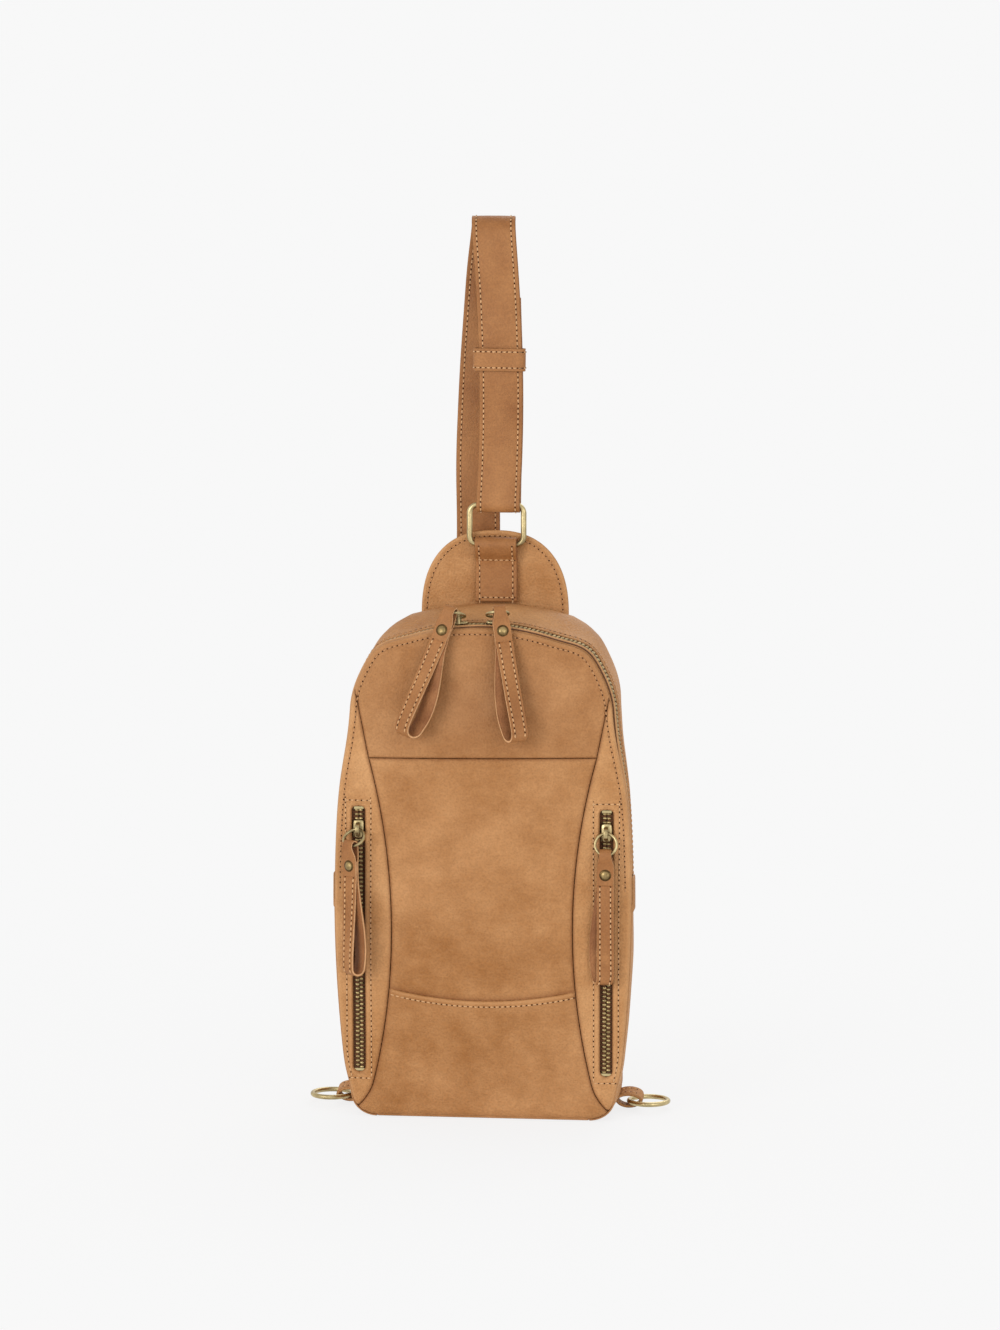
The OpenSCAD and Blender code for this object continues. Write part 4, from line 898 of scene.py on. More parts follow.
def sweepBand(name, path, across, facing, width, thick, body, materials, replaced=(), closed=False,
              groove=0.2, crown=0.1, rearSlot=0, slotName="leather"):
    path = np.asarray(path, float)
    across = np.broadcast_to(np.asarray(across, float), path.shape)
    width = np.broadcast_to(np.asarray(width, float), len(path))
    thick = np.broadcast_to(np.asarray(thick, float), len(path))
    tangent = np.roll(path, -1, 0) - np.roll(path, 1, 0) if closed else np.gradient(path, axis=0)
    tangent /= np.linalg.norm(tangent, axis=1)[:, None]
    normal = np.cross(tangent, across)
    normal /= np.linalg.norm(normal, axis=1)[:, None]
    if (normal[0] * np.asarray(facing, float)).sum() < 0:
        normal = -normal
    cols = bandProfile(groove, crown)
    n = len(cols)
    verts = np.zeros((len(path), n, 3))
    for j, (a, b, height, face) in enumerate(cols):
        corner = abs(a) == 1 and face != cutFace  # the four corners are rounded off
        out = a * (width / 2 - (0.3 * thick if corner else 0.0))
        through = b * thick + height - (np.sign(b) * 0.12 * thick if corner else 0.0)
        verts[:, j] = path + across * out[:, None] + normal * through[:, None]
    faces = gridFaces(len(path), n, wrapRows=True, wrapCols=True) if closed else tubeFaces(len(path), n)
    slots = []
    for f in faces:
        both = [cols[f[0] % n][3], cols[(f[0] + 1) % n][3]]
        slots.append(1 if cutFace in both or len(f) > 4 else (rearSlot if both[0] == rearFace else 0))
    rub = np.tile([0.7 * math.exp(-((1 - abs(c[0])) / 0.05) ** 2) for c in cols], (len(path), 1))
    addPiece(name, verts, faces, body, slotName, materials, replaced, slots,
             {"rub": rub, "shade": np.zeros_like(rub)})
    return path, across, normal


# stitch row on a swept band: offset across, lift from the middle of its thickness
def sewBand(body, band, use, offset, lift):
    path, across, normal = (part[use] for part in band)
    offset, lift = (np.broadcast_to(v, len(path))[:, None] for v in (offset, lift))
    sew(body, path + across * offset + normal * lift, normal * np.sign(lift))


def resample(path, step):
    path = np.asarray(path, float)
    return alongLine(path, np.linspace(0, 1, max(8, int(runLength(path)[-1] / step)) + 1))


def relax(path, rounds):
    path = np.array(path, float)
    for _ in range(rounds):
        path[1:-1] = 0.25 * path[:-2] + 0.5 * path[1:-1] + 0.25 * path[2:]
    return path


def arcPoints(c, r, a0, a1, count):
    a = np.radians(np.linspace(a0, a1, count))
    return np.stack([c[0] + r * np.cos(a), c[1] + r * np.sin(a)], 1)


def turning(*steps):
    m = np.eye(3)
    for axis, angle in steps:
        m = m @ np.array(Matrix.Rotation(math.radians(angle), 3, axis))
    return m


# strap: tail behind the front run, round the ring, over the top and down to the clip
ringBar = {"y": 30.3, "low": 347.7, "high": 372.2}
strapCut = {"width": 27.0, "thick": 2.2, "tail": 500.0, "top": 550.0, "bend": 10.0, "ringBend": 3.95,
            "clipBend": 3.7, "clipBar": 130.0, "end": 172.0, "frontY": 29.1, "rearY": 49.1, "lowX": 2.2,
            "topX": -0.9, "stitchIn": 2.8, "sway": 0.18, "swaySize": 55.0,
            "bowZ": (360, 378, 400, 440, 480, 510, 540, 550),
            "bowX": (0.5, 0.6, 2.3, 3.7, 3.5, 2.6, 0.8, 0.0),
            "rearZ": (130, 172, 250, 300, 340, 360, 379, 397, 416, 435, 453, 472, 490, 509, 528, 550),
            "rearX": (-25.43, -22.9, -17.2, -14.0, -12.0, -11.6, -12.2, -12.5, -11.8, -10.9, -10.1, -8.9,
                      -7.4, -6.2, -4.6, -0.9)}


def makeStrap():
    half = strapCut["thick"] / 2 + 0.1
    bendZ = strapCut["top"] - strapCut["thick"] / 2 - strapCut["bend"]
    frontY, rearY, high, clipBar = strapCut["frontY"], strapCut["rearY"], ringBar["high"], strapCut["clipBar"]
    tailY, clipY = ringBar["y"] + half, rearY + half
    front = np.concatenate([[[tailY, strapCut["tail"]], [tailY, high + 20]],
                            arcPoints((ringBar["y"], high), strapCut["ringBend"], 0, -180, 15),
                            [[frontY, high + 20], [frontY, 470], [frontY, bendZ]]])
    over = arcPoints((frontY + strapCut["bend"], bendZ), strapCut["bend"], 180, 0, 25)[1:]
    rear = np.concatenate([[[rearY, 350], [rearY, clipBar + 20]],
                           arcPoints((clipY, clipBar), strapCut["clipBend"], -180, 0, 15),
                           [[clipY + half, clipBar + 20], [clipY + half, strapCut["end"]]]])
    lean = (strapCut["topX"] - strapCut["lowX"]) / (bendZ - high)
    frontX = strapCut["lowX"] + (front[:, 1] - high) * lean
    overX = np.where(over[:, 1] > bendZ + 0.01, strapCut["topX"], 0.0)
    yz = np.concatenate([front, over, rear])
    x = np.concatenate([frontX, overX, np.zeros(len(rear))])
    path = resample(np.stack([x, yz[:, 0], yz[:, 1]], 1), 1.6)
    onFront = path[:, 1] < frontY + 4.5
    path[onFront, 0] += np.interp(path[onFront, 2], strapCut["bowZ"], strapCut["bowX"])
    onRear = path[:, 1] > rearY - 4
    path[onRear, 0] = np.interp(path[onRear, 2], strapCut["rearZ"], strapCut["rearX"])
    path[:, 0] = average(path[:, 0], 25)
    path = relax(path, 3)
    path[:, 1] += strapCut["sway"] * cloudNoise(runLength(path), 0.0, strapCut["swaySize"], "strap")
    band = sweepBand("strapBand", path, (1, 0, 0), towardsBack, strapCut["width"], strapCut["thick"], "strap",
                     ["strapLeather", "cutEdge"], ["strap"], groove=0.22, crown=0.12)
    for s in (-1, 1):
        for face in (-1, 1):
            sewBand("strap", band, slice(3, -3), s * (strapCut["width"] / 2 - strapCut["stitchIn"]),
                    face * (strapCut["thick"] / 2 - 0.05))


# anchor: a doubled strip that holds the ring to the top tab
anchorCut = {"x": 1.2, "width": 26.0, "thick": 1.8, "frontY": 32.25, "rearY": 34.05, "foot": 312.0,
             "bend": 3.75, "stitchOut": 10.3, "stitchLift": 0.85, "stitchTop": 346.0,
             "crossRows": (314.6, 338.0), "crossHalf": 10.0}


def makeAnchor():
    x, frontY, rearY, foot = (anchorCut[k] for k in ("x", "frontY", "rearY", "foot"))
    yz = np.concatenate([[[frontY, foot], [frontY, 334.0], [31.6, 338.5], [28.2, 342.6]],
                         arcPoints((ringBar["y"], ringBar["low"]), anchorCut["bend"], 200, -5, 17),
                         [[rearY, 340.0], [rearY, foot]]])
    path = relax(resample(np.stack([np.full(len(yz), x), yz[:, 0], yz[:, 1]], 1), 0.9), 2)
    band = sweepBand("anchorLeather", path, (1, 0, 0), towardsFront, anchorCut["width"], anchorCut["thick"],
                     "bag", ["strapLeather", "cutEdge"], ["strap_anchor"], groove=0.2, crown=0.08)
    use = (np.arange(len(path)) < np.argmax(path[:, 2])) & (path[:, 2] < anchorCut["stitchTop"])
    for s in (-1, 1):
        sewBand("bag", band, use, s * anchorCut["stitchOut"], anchorCut["stitchLift"])
    for z in anchorCut["crossRows"]:
        y = np.interp(z, path[use][:, 2], path[use][:, 1]) - anchorCut["thick"] / 2
        across = np.linspace(-anchorCut["crossHalf"], anchorCut["crossHalf"], 20)
        sew("bag", [(x + t, y, z) for t in across], towardsFront)


# keeper: a closed band round both layers of the strap, a little aslant
keeperCut = {"z": 462.0, "lean": -1.065, "aslant": 1.6, "shift": 2.9, "halfX": 15.25, "halfY": 3.35,
             "round": 2.2, "width": 14.0, "thick": 1.5, "stitchOut": 4.9, "stitchLift": 0.72}


def makeKeeper():
    lean, z, r = math.radians(keeperCut["lean"]), keeperCut["z"], keeperCut["round"]
    centre = np.array([strapCut["lowX"] + (z - ringBar["high"]) * math.tan(lean) + keeperCut["shift"],
                       ringBar["y"], z])
    corners = [arcPoints((sx * (keeperCut["halfX"] - r), sy * (keeperCut["halfY"] - r)), r, a, a + 90, 7)
               for sx, sy, a in ((1, -1, -90), (1, 1, 0), (-1, 1, 90), (-1, -1, 180))]
    loop = np.concatenate(corners + [corners[0][:1]])
    loop = resample(np.concatenate([loop, np.zeros((len(loop), 1))], 1), 1.2)[:-1]
    turn = turning(("Y", keeperCut["lean"] + keeperCut["aslant"]))
    path = loop @ turn.T + centre
    band = sweepBand("keeperLeather", path, turn[:, 2], path[0] - centre, keeperCut["width"],
                     keeperCut["thick"], "strap_keeper", ["strapLeather", "cutEdge"], ["strap_keeper"],
                     closed=True, groove=0.18, crown=0.1)
    ring = np.concatenate([np.arange(len(path)), [0]])
    for s in (-1, 1):
        sewBand("strap_keeper", band, ring, s * keeperCut["stitchOut"], keeperCut["stitchLift"])


makeStrap()
makeAnchor()
makeKeeper()
print("strap made")

# top tab: two layers sewn round the edge
tabCut = {"half": 45.9, "top": 356.0, "foot": 272.0, "round": 303.0, "square": 2.4, "front": 35.0,
          "rear": 38.0, "stitchIn": 3.6, "footRow": 4.0, "footRowHalf": 41.5, "uneven": 0.25,
          "unevenSize": 24.0}


def tabOutline(inset):
    foot = tabCut["foot"] + inset
    zs = foot + (tabCut["round"] - foot) * np.linspace(0, 1, 14)[:-1]
    a = np.linspace(0, math.pi / 2, 56)
    power = 2 / tabCut["square"]
    arch = np.stack([(tabCut["half"] - inset) * np.cos(a) ** power,
                     tabCut["round"] + (tabCut["top"] - tabCut["round"] - inset) * np.sin(a) ** power], 1)
    return np.concatenate([np.stack([np.full(len(zs), tabCut["half"] - inset), zs], 1), arch])


def makeTab():
    side = tabOutline(0.0)
    us = spaced(80, 2.4)
    flat = np.array([np.stack([(2 * us - 1) * x, np.full(len(us), z)], 1) for x, z in side])
    d = nearest(flat, np.concatenate([side, side[::-1] * mirrorX, side[:1]]))
    sunk = rollIn(d, 1.4, 1.2) + stitchDip(d, tabCut["stitchIn"])
    uneven = tabCut["uneven"] * cloudNoise(flat[..., 0], flat[..., 1], tabCut["unevenSize"], "tab")
    uneven = uneven * smooth(4, 12, d)
    front = tabCut["front"] + sunk + uneven * (flat[..., 1] > 300)
    rear = tabCut["rear"] - sunk + uneven
    sheets, strip = sheetFaces(len(side), len(us))
    verts = np.concatenate([atDepth(flat, y).reshape(-1, 3) for y in (front, rear)])
    rub = np.tile(0.7 * hump(d, 1.0, 0.9).ravel(), 2)
    addPiece("topTabLeather", verts, sheets + strip, "bag", "leather", ["paleLeather", "cutEdge"],
             ["top_tab"], [0] * len(sheets) + [1] * len(strip), {"rub": rub, "shade": np.zeros(len(rub))})
    inner = tabOutline(tabCut["stitchIn"])
    row = np.concatenate([inner, inner[::-1] * mirrorX])
    sew("bag", atDepth(row[row[:, 1] > tabCut["round"]], tabCut["front"] + 0.2), towardsFront, "tan")
    sew("bag", atDepth(row, tabCut["rear"] - 0.2), towardsBack, "tan")
    footX = np.linspace(-tabCut["footRowHalf"], tabCut["footRowHalf"], 50)
    footZ = tabCut["foot"] + tabCut["footRow"]
    sew("bag", [(x, tabCut["rear"] - 0.1, footZ) for x in footX], towardsBack, "tan")


makeTab()
print("tab made")

# zip chains: the main one runs on the top arc, the pocket ones straight up their slots
mainChain = {"radius": bag["topR"] - 2.2, "y": -25.2, "centreZ": topC[1], "left": -15.0, "right": 7.0}
pocketChain = {"x": slotCut["x"], "y": -32.8, "foot": slotCut["bottom"], "length": 165.0, "sliderZ": 179.0}
bailMid = 1.6 + 1.5 + 2.6  # from the chain to the middle of a slider's bail
ringSpan = 13.2


def onChain(x, lift=0.0):
    a = math.asin(x / mainChain["radius"])
    r = mainChain["radius"] + lift
    return np.array([r * math.sin(a), mainChain["y"], mainChain["centreZ"] + r * math.cos(a)])


def pocketBail(side):
    return np.array([side * pocketChain["x"], pocketChain["y"] - bailMid, pocketChain["sliderZ"]])


# zip pulls: a strip through the ring, riveted, and looped at the foot
pullCut = {"width": 10.5, "neck": 7.2, "thick": 1.45, "thin": 1.0, "length": 80.0, "loopFrom": 22.0,
           "flap": 6.6, "stitchIn": 2.0, "rivetZ": -12.0, "rivetY": 1.5, "ragged": 0.3,
           "raggedSize": 6.0}
# each pull: where its bail is, how its ring hangs and the leather is turned, how far its foot is twisted,
# how wide its loop stands open and how far the rear layer swings out sideways
pulls = {
    "left_main": {"bail": onChain(mainChain["left"], bailMid), "yaw": -18, "swing": 110, "twist": -18,
                  "turn": turning(("Y", 17), ("Z", -18), ("X", -12)), "open": 3.6, "aside": 7.0},
    "right_main": {"bail": onChain(mainChain["right"], bailMid), "yaw": 16, "swing": 110, "twist": 14,
                   "turn": turning(("Y", -7), ("Z", 16), ("X", -12)), "open": 3.2, "aside": -5.2},
    "left_pocket": {"bail": pocketBail(-1), "yaw": -20, "swing": 48, "twist": -16,
                    "turn": turning(("Z", -33)), "open": 3.2, "aside": 4.4},
    "right_pocket": {"bail": pocketBail(1), "yaw": 0, "swing": 16, "twist": 8,
                     "turn": turning(), "open": 1.9, "aside": -4.6},
}
rivetSpots = {}


def ringFar(bail, yaw, swing):
    y, s = math.radians(yaw), math.radians(swing)
    return bail + ringSpan * np.array([math.sin(s) * math.sin(y), -math.sin(s) * math.cos(y), -math.cos(s)])


def pieceLabel(name):
    words = name.split("_")
    return words[0] + "".join(w.title() for w in words[1:])


def makePull(name, pull):
    wide, turn = pull["open"], pull["turn"]
    eye = ringFar(pull["bail"], pull["yaw"], pull["swing"])
    foot = -pullCut["length"] + wide + pullCut["thick"] / 2
    zs = np.linspace(-pullCut["loopFrom"], foot, 30)
    spread = smooth(0.05, 1.0, (zs + pullCut["loopFrom"]) / (foot + pullCut["loopFrom"]))
    rear = list(zip(0.75 + (1.35 * wide - 0.75) * spread, zs))
    angles = np.radians(np.arange(10, 171, 10))
    bottom = list(zip(0.35 * wide + wide * np.cos(angles), foot - wide * np.sin(angles)))
    front = list(zip(-0.75 - (0.65 * wide - 0.75) * spread[::-1], zs[::-1]))
    angles = np.radians(np.arange(190, -15, -10))
    over = list(zip(3.02 * np.cos(angles), 0.2 + 3.25 * np.sin(angles)))
    flapFoot = (-1.1, pullCut["rivetZ"] - pullCut["flap"])
    yz = [flapFoot, (-1.05, -13), (-1.05, -9.0), (-1.6, -5.5), (-2.6, -2.6)] + over
    yz += [(2.5, -2.6), (1.55, -5.5), (1.05, -9.0), (1.05, -15.0), (0.9, -19.5)] + rear[1:] + bottom
    yz += front[:-1] + [(-0.3, -18.0), (0.02, -12.0), (0.02, -9.0)]
    y, z = relax(resample(yz, 0.9), 2).T
    thick = pullCut["thin"] + (pullCut["thick"] - pullCut["thin"]) * smooth(-16, -24, z)
    width = pullCut["neck"] + (pullCut["width"] - pullCut["neck"]) * smooth(1.0, -8.0, z)
    ragged = cloudNoise(runLength(np.stack([y, z], 1)), len(name), pullCut["raggedSize"], "pull")
    width = width + pullCut["ragged"] * ragged
    swirl = np.radians(pull["twist"]) * smooth(-14, -74, z)
    index, low = np.arange(len(z)), np.argmin(z)
    hang = np.clip((z + 16) / (foot + 16), 0, 1)
    rounding = np.clip((y + 0.65 * wide) / (2 * wide), 0, 1)
    behind = np.where(index < low, np.sin(np.pi * 0.82 * hang ** 1.3), 0)
    drift = average(np.where(z < foot, 0.54 * rounding, behind) * pull["aside"], 9)
    path = np.stack([drift - y * np.sin(swirl), y * np.cos(swirl), z], 1) @ turn.T + eye
    across = np.stack([np.cos(swirl), np.sin(swirl), np.zeros(len(z))], 1) @ turn.T
    facing = turn @ np.array(towardsFront)
    node = name + "_pull"
    band = sweepBand(pieceLabel(name) + "PullLeather", path, across, facing, width, thick, node,
                     ["strapLeather", "paleEdge", "cutEdge"], [node], groove=0.14, crown=0.05, rearSlot=2)
    for s in (-1, 1):
        for layer in (index > low, index < low):
            use = layer & (z < -20.5) & (z > foot - 1)
            sewBand(node, band, use, s * (width[use] / 2 - pullCut["stitchIn"]), thick[use] / 2)
    caps = [eye + turn @ np.array([0.0, s * pullCut["rivetY"], pullCut["rivetZ"]]) for s in (-1, 1)]
    rivetSpots[name] = (caps, [facing, -facing])


for name, pull in pulls.items():
    makePull(name, pull)
print("pulls made")

# lower ring tabs: a leaf over the ring and a narrower one below it, with room for the ring to swing
lowTab = {"x": 87.0, "y": 6.0, "z": 6.7, "width": 12.0, "narrow": 8.0, "thick": 1.6, "rise": 4.0, "drop": 4.9,
          "reach": 8.0, "foot": 73.0, "waist": 79.0, "tilt": 11.0, "stitchOut": 3.0, "stitchLift": 0.72}


def makeRingTab(side, name, node):
    z = lowTab["z"]
    xz = [(lowTab["foot"], z + 0.8), (lowTab["waist"], z + 0.85)]
    for a in np.radians(np.arange(140, -141, -10)):
        height = lowTab["rise" if a > 0 else "drop"]
        xz.append((lowTab["x"] + lowTab["reach"] * math.cos(a), z + height * math.sin(a)))
    xz += [(lowTab["waist"], z - 0.85), (lowTab["foot"], z - 0.8)]
    xz = relax(resample(xz, 0.8), 2)
    back = smooth(0.46, 0.56, np.linspace(0, 1, len(xz)))
    tilt = math.radians(lowTab["tilt"]) * (1 - back)
    across = np.stack([np.zeros(len(xz)), np.cos(tilt), np.sin(tilt)], 1)
    width = lowTab["width"] + (lowTab["narrow"] - lowTab["width"]) * back
    # painted light: both faces take the paler copy of the tan leather, as the tab lies in shade
    band = sweepBand(name, atDepth(xz * np.array([side, 1.0]), lowTab["y"]), across, (0, 0, 1), width,
                     lowTab["thick"], "bag", ["paleLeather", "paleLeather"], [node], groove=0.1, crown=0.05)
    use = (np.arange(len(xz)) < len(xz) * 0.35) & (xz[:, 0] > 76.5)
    for s in (-1, 1):
        sewBand("bag", band, use, s * lowTab["stitchOut"], lowTab["stitchLift"])


makeRingTab(1, "rightRingTabLeather", "right_ring_tab")
makeRingTab(-1, "leftRingTabLeather", "left_ring_tab")

# leather covers over the ends of the main zip
coverCut = {"from": 129.6, "to": 151.4, "front": -31.2, "rear": -19.2, "rise": 1.0, "pillow": 0.3,
            "under": 0.06}


def makeCovers():
    fine = (0, 0.2, 0.5, 0.9, 1.5)
    zs = coverCut["from"] + spaced(22, 1.6, fine) * (coverCut["to"] - coverCut["from"])
    ys = coverCut["front"] + spaced(12, 1.5, fine) * (coverCut["rear"] - coverCut["front"])
    z, y = np.meshgrid(zs, ys, indexing="ij")
    d = np.minimum(np.minimum(z - coverCut["from"], coverCut["to"] - z),
                   np.minimum(y - coverCut["front"], coverCut["rear"] - y))
    edgeX = sideC[0] + np.sqrt(bag["sideR"] ** 2 - (z - bag["widest"]) ** 2)
    top = edgeX + coverCut["rise"] + coverCut["pillow"] * smooth(0, 5, d) - rollIn(d, 1.6, 0.95)
    under = edgeX + coverCut["under"]
    sheets, strip = sheetFaces(len(zs), len(ys))
    parts = [(np.stack([np.stack([side * x, y, z], -1) for x in (top, under)]), sheets + strip)
             for side in (1, -1)]
    rub = np.tile(0.7 * hump(d, 0, 0.9).ravel(), 4)
    addPiece("zipEndLeather", *joinParts(parts), "bag", "leather", ["leather"], ["main_zip_end_covers"],
             attributes={"rub": rub, "shade": np.zeros(len(rub))})


makeCovers()
print("tabs and covers made")

# zip tapes: woven bands with a thicker cord beside the teeth
tapeCut = {"inset": 2.2, "thick": 0.7, "cordAt": 1.4, "cordSpread": 0.9, "mainCord": 0.55, "pocketCord": 0.5,
           "main": (0.3, 0.8, 1.3, 2.2, 3.0, 4.0, 5.0, 6.2, 7.7),
           "pocket": (0.3, 0.8, 1.3, 2.2, 3.0, 4.2, 5.8)}


# cross-section of a tape: distance from the chain, height, going round
def tapeRing(steps, cord):
    ys = np.array(steps)
    half = tapeCut["thick"] / 2 + cord * hump(ys, tapeCut["cordAt"], tapeCut["cordSpread"])
    return np.concatenate([ys, ys[::-1]]), np.concatenate([half, -half[::-1]])


def makeMainTapes():
    away, height = tapeRing(tapeCut["main"], tapeCut["mainCord"])
    flat = archPoints[:, None] + archNormals[:, None] * (height - tapeCut["inset"])[:, None]
    for s, name, node in ((-1, "mainFrontTape", "main_zip_front_tape"),
                          (1, "mainRearTape", "main_zip_rear_tape")):
        verts = atDepth(flat, mainChain["y"] + s * away)
        addPiece(name, verts, tubeFaces(*flat.shape[:2]), "bag", "zip_tape", ["tape"], [node])


def makePocketTapes():
    away, height = tapeRing(tapeCut["pocket"], tapeCut["pocketCord"])
    zs = pocketChain["foot"] + np.linspace(-1.0, pocketChain["length"] + 1.0, 30)
    shape = (len(zs), len(away))
    for side, name, node in ((1, "rightPocketTape", "right_zip_tapes"),
                             (-1, "leftPocketTape", "left_zip_tapes")):
        parts = []
        for s in (-1, 1):
            x, y, z = (np.broadcast_to(v, shape) for v in (
                side * (pocketChain["x"] + s * away), pocketChain["y"] - height, zs[:, None]))
            parts.append((np.stack([x, y, z], -1), tubeFaces(*shape)))
        addPiece(name, *joinParts(parts), "bag", "zip_tape", ["tape"], [node])


makeMainTapes()
makePocketTapes()
print("zip tapes made")


# Geometry Nodes: small pieces set along lines, square to the line and to an outward direction
def pathObject(name, runs):
    edges, start = [], 0
    for points, _ in runs:
        edges += [(start + k, start + k + 1) for k in range(len(points) - 1)]
        start += len(points)
    mesh = bpy.data.meshes.new(name)
    mesh.from_pydata((np.concatenate([p for p, _ in runs]) * mm).tolist(), edges, [])
    layer = mesh.attributes.new("outward", "FLOAT_VECTOR", "POINT")
    layer.data.foreach_set("vector", np.concatenate([q for _, q in runs]).astype(np.float32).ravel())
    return addObject(name, mesh)


def newTree(name, sizes, materials):
    tree = bpy.data.node_groups.new(name, "GeometryNodeTree")
    tree.interface.new_socket("Geometry", in_out="INPUT", socket_type="NodeSocketGeometry")
    for label, value in sizes.items():
        tree.interface.new_socket(label, in_out="INPUT", socket_type="NodeSocketFloat").default_value = value
    for label in materials:
        tree.interface.new_socket(label, in_out="INPUT", socket_type="NodeSocketMaterial")
    tree.interface.new_socket("Geometry", in_out="OUTPUT", socket_type="NodeSocketGeometry")
    return tree, tree.nodes.new("NodeGroupInput").outputs, tree.nodes.new("NodeGroupOutput").inputs


def faceOutward(tree):
    outward = addNode(tree, "GeometryNodeInputNamedAttribute", {"Name": "outward"}, data_type="FLOAT_VECTOR")
    turned = addNode(tree, "FunctionNodeAlignRotationToVector", {"Vector": outward.outputs[0]}, axis="Z")
    return turned.outputs[0]


def lineFrames(tree, given):
    curve = addNode(tree, "GeometryNodeMeshToCurve", {0: given["Geometry"]})
    steps = addNode(tree, "GeometryNodeResampleCurve", {"Curve": curve.outputs[0], "Length": given["Pitch"]},
                    mode="LENGTH")
    tangent = addNode(tree, "GeometryNodeInputTangent")
    turned = addNode(tree, "FunctionNodeAlignRotationToVector",
                     {"Rotation": faceOutward(tree), "Vector": tangent.outputs[0]}, axis="X", pivot_axis="Z")
    return steps.outputs[0], turned.outputs[0]


def sizeVector(tree, *values):
    return addNode(tree, "ShaderNodeCombineXYZ", dict(enumerate(values))).outputs[0]


def setAlong(tree, line, rotation, shape, material):
    placed = addNode(tree, "GeometryNodeInstanceOnPoints",
                     {"Points": line, "Instance": shape, "Rotation": rotation})
    real = addNode(tree, "GeometryNodeRealizeInstances", {0: placed.outputs[0]})
    soft = addNode(tree, "GeometryNodeSetShadeSmooth", {0: real.outputs[0]})
    finish = addNode(tree, "GeometryNodeSetMaterial", {"Geometry": soft.outputs[0], "Material": material})
    return finish.outputs[0]


def roundShape(tree, segments, rings, size, shift):
    ball = addNode(tree, "GeometryNodeMeshUVSphere", {"Segments": segments, "Rings": rings, "Radius": 0.5})
    return addNode(tree, "GeometryNodeTransform",
                   {"Geometry": ball.outputs[0], "Scale": size, "Translation": shift}).outputs[0]


def joinAll(tree, result, *shapes):
    both = addNode(tree, "GeometryNodeJoinGeometry")
    for shape in shapes:
        feed(tree, both.inputs[0], shape)
    feed(tree, result[0], both.outputs[0])


def makeStitchTree():
    tree, given, result = newTree("stitchRow", {
        "Pitch": 0.0032, "Stitch Length": 0.0024, "Thread Width": 0.0008, "Thread Height": 0.0007,
        "Hole Width": 0.0009}, ["Thread", "Hole"])
    line, rotation = lineFrames(tree, given)
    size = sizeVector(tree, given["Stitch Length"], given["Thread Width"], given["Thread Height"])
    thread = roundShape(tree, 6, 4, size, sizeVector(tree, 0.0, 0.0, 0.00012))
    # a dark flattened mark at each needle hole: painted shade of the hole
    size = sizeVector(tree, given["Hole Width"], given["Hole Width"], 0.0004)
    halfPitch = mathNode(tree, "MULTIPLY", given["Pitch"], 0.5)
    hole = roundShape(tree, 6, 3, size, sizeVector(tree, halfPitch, 0.0, 0.00002))
    joinAll(tree, result, setAlong(tree, line, rotation, thread, given["Thread"]),
            setAlong(tree, line, rotation, hole, given["Hole"]))
    return tree


def makeToothTree():
    tree, given, result = newTree("zipTeeth", {
        "Pitch": 0.0024, "Tooth Length": 0.0014, "Tooth Reach": 0.0034, "Tooth Height": 0.0026}, ["Metal"])
    line, rotation = lineFrames(tree, given)
    size = sizeVector(tree, given["Tooth Length"], given["Tooth Reach"], given["Tooth Height"])
    block = addNode(tree, "GeometryNodeMeshCube", {"Size": size})
    rounded = addNode(tree, "GeometryNodeSubdivisionSurface",
                      {"Mesh": block.outputs[0], "Level": 1, "Edge Crease": 0.55})
    feed(tree, result[0], setAlong(tree, line, rotation, rounded.outputs[0], given["Metal"]))
    return tree


# rivet caps: a dome on a darker rim, square to the leather
def makeRivetTree():
    tree, given, result = newTree("rivetCaps", {
        "Cap Width": 0.0074, "Cap Height": 0.002, "Dome Share": 0.74}, ["Metal", "Rim Metal"])
    rotation = faceOutward(tree)
    wide, high = given["Cap Width"], given["Cap Height"]
    dome = mathNode(tree, "MULTIPLY", wide, given["Dome Share"])
    caps = []
    for width, height, lift, metal in ((wide, mathNode(tree, "MULTIPLY", high, 0.75), 0.0, "Rim Metal"),
                                       (dome, high, 0.0003, "Metal")):
        size, shift = sizeVector(tree, width, width, height), sizeVector(tree, 0.0, 0.0, lift)
        shape = roundShape(tree, 24, 10, size, shift)
        caps.append(setAlong(tree, given["Geometry"], rotation, shape, given[metal]))
    joinAll(tree, result, *caps)
    return tree


# sets the inputs, makes the result a plain mesh and takes the modifier off
def growAlong(piece, tree, values):
    mod = piece.modifiers.new("along", "NODES")
    mod.node_group = tree
    for item in tree.interface.items_tree:
        if item.item_type == "SOCKET" and item.in_out == "INPUT" and item.name in values:
            mod[item.identifier] = values[item.name]
    depsgraph = bpy.context.evaluated_depsgraph_get()
    mesh = bpy.data.meshes.new_from_object(piece.evaluated_get(depsgraph), depsgraph=depsgraph)
    piece.modifiers.remove(mod)
    piece.data = mesh
    return piece


stitchTree, toothTree, rivetTree = makeStitchTree(), makeToothTree(), makeRivetTree()
stitching = {"Pitch": 0.0032, "Stitch Length": 0.0025, "Thread Width": 0.00098, "Thread Height": 0.001,
             "Hole Width": 0.0011, "Hole": finishes["needleHole"]}
for (body, thread), runs in stitchRuns.items():
    name = body.title().replace("_", "") + thread.title() + "Stitching"
    values = dict(stitching, Thread=finishes[thread + "Thread"])
    settle(growAlong(pathObject(name, runs), stitchTree, values), body)
print("stitching made")

teeth = {"Pitch": 0.0026, "Tooth Length": 0.0017, "Tooth Reach": 0.0034, "Tooth Height": 0.0026,
         "Metal": finishes["toothBrass"]}
toothCut = {"inset": 1.9, "out": 1.35, "lag": 1.3, "pocketLift": 0.2, "endGap": 2.6}


def addTeeth(name, node, runs):
    settle(growAlong(pathObject(name, runs), toothTree, teeth), "bag", [node])


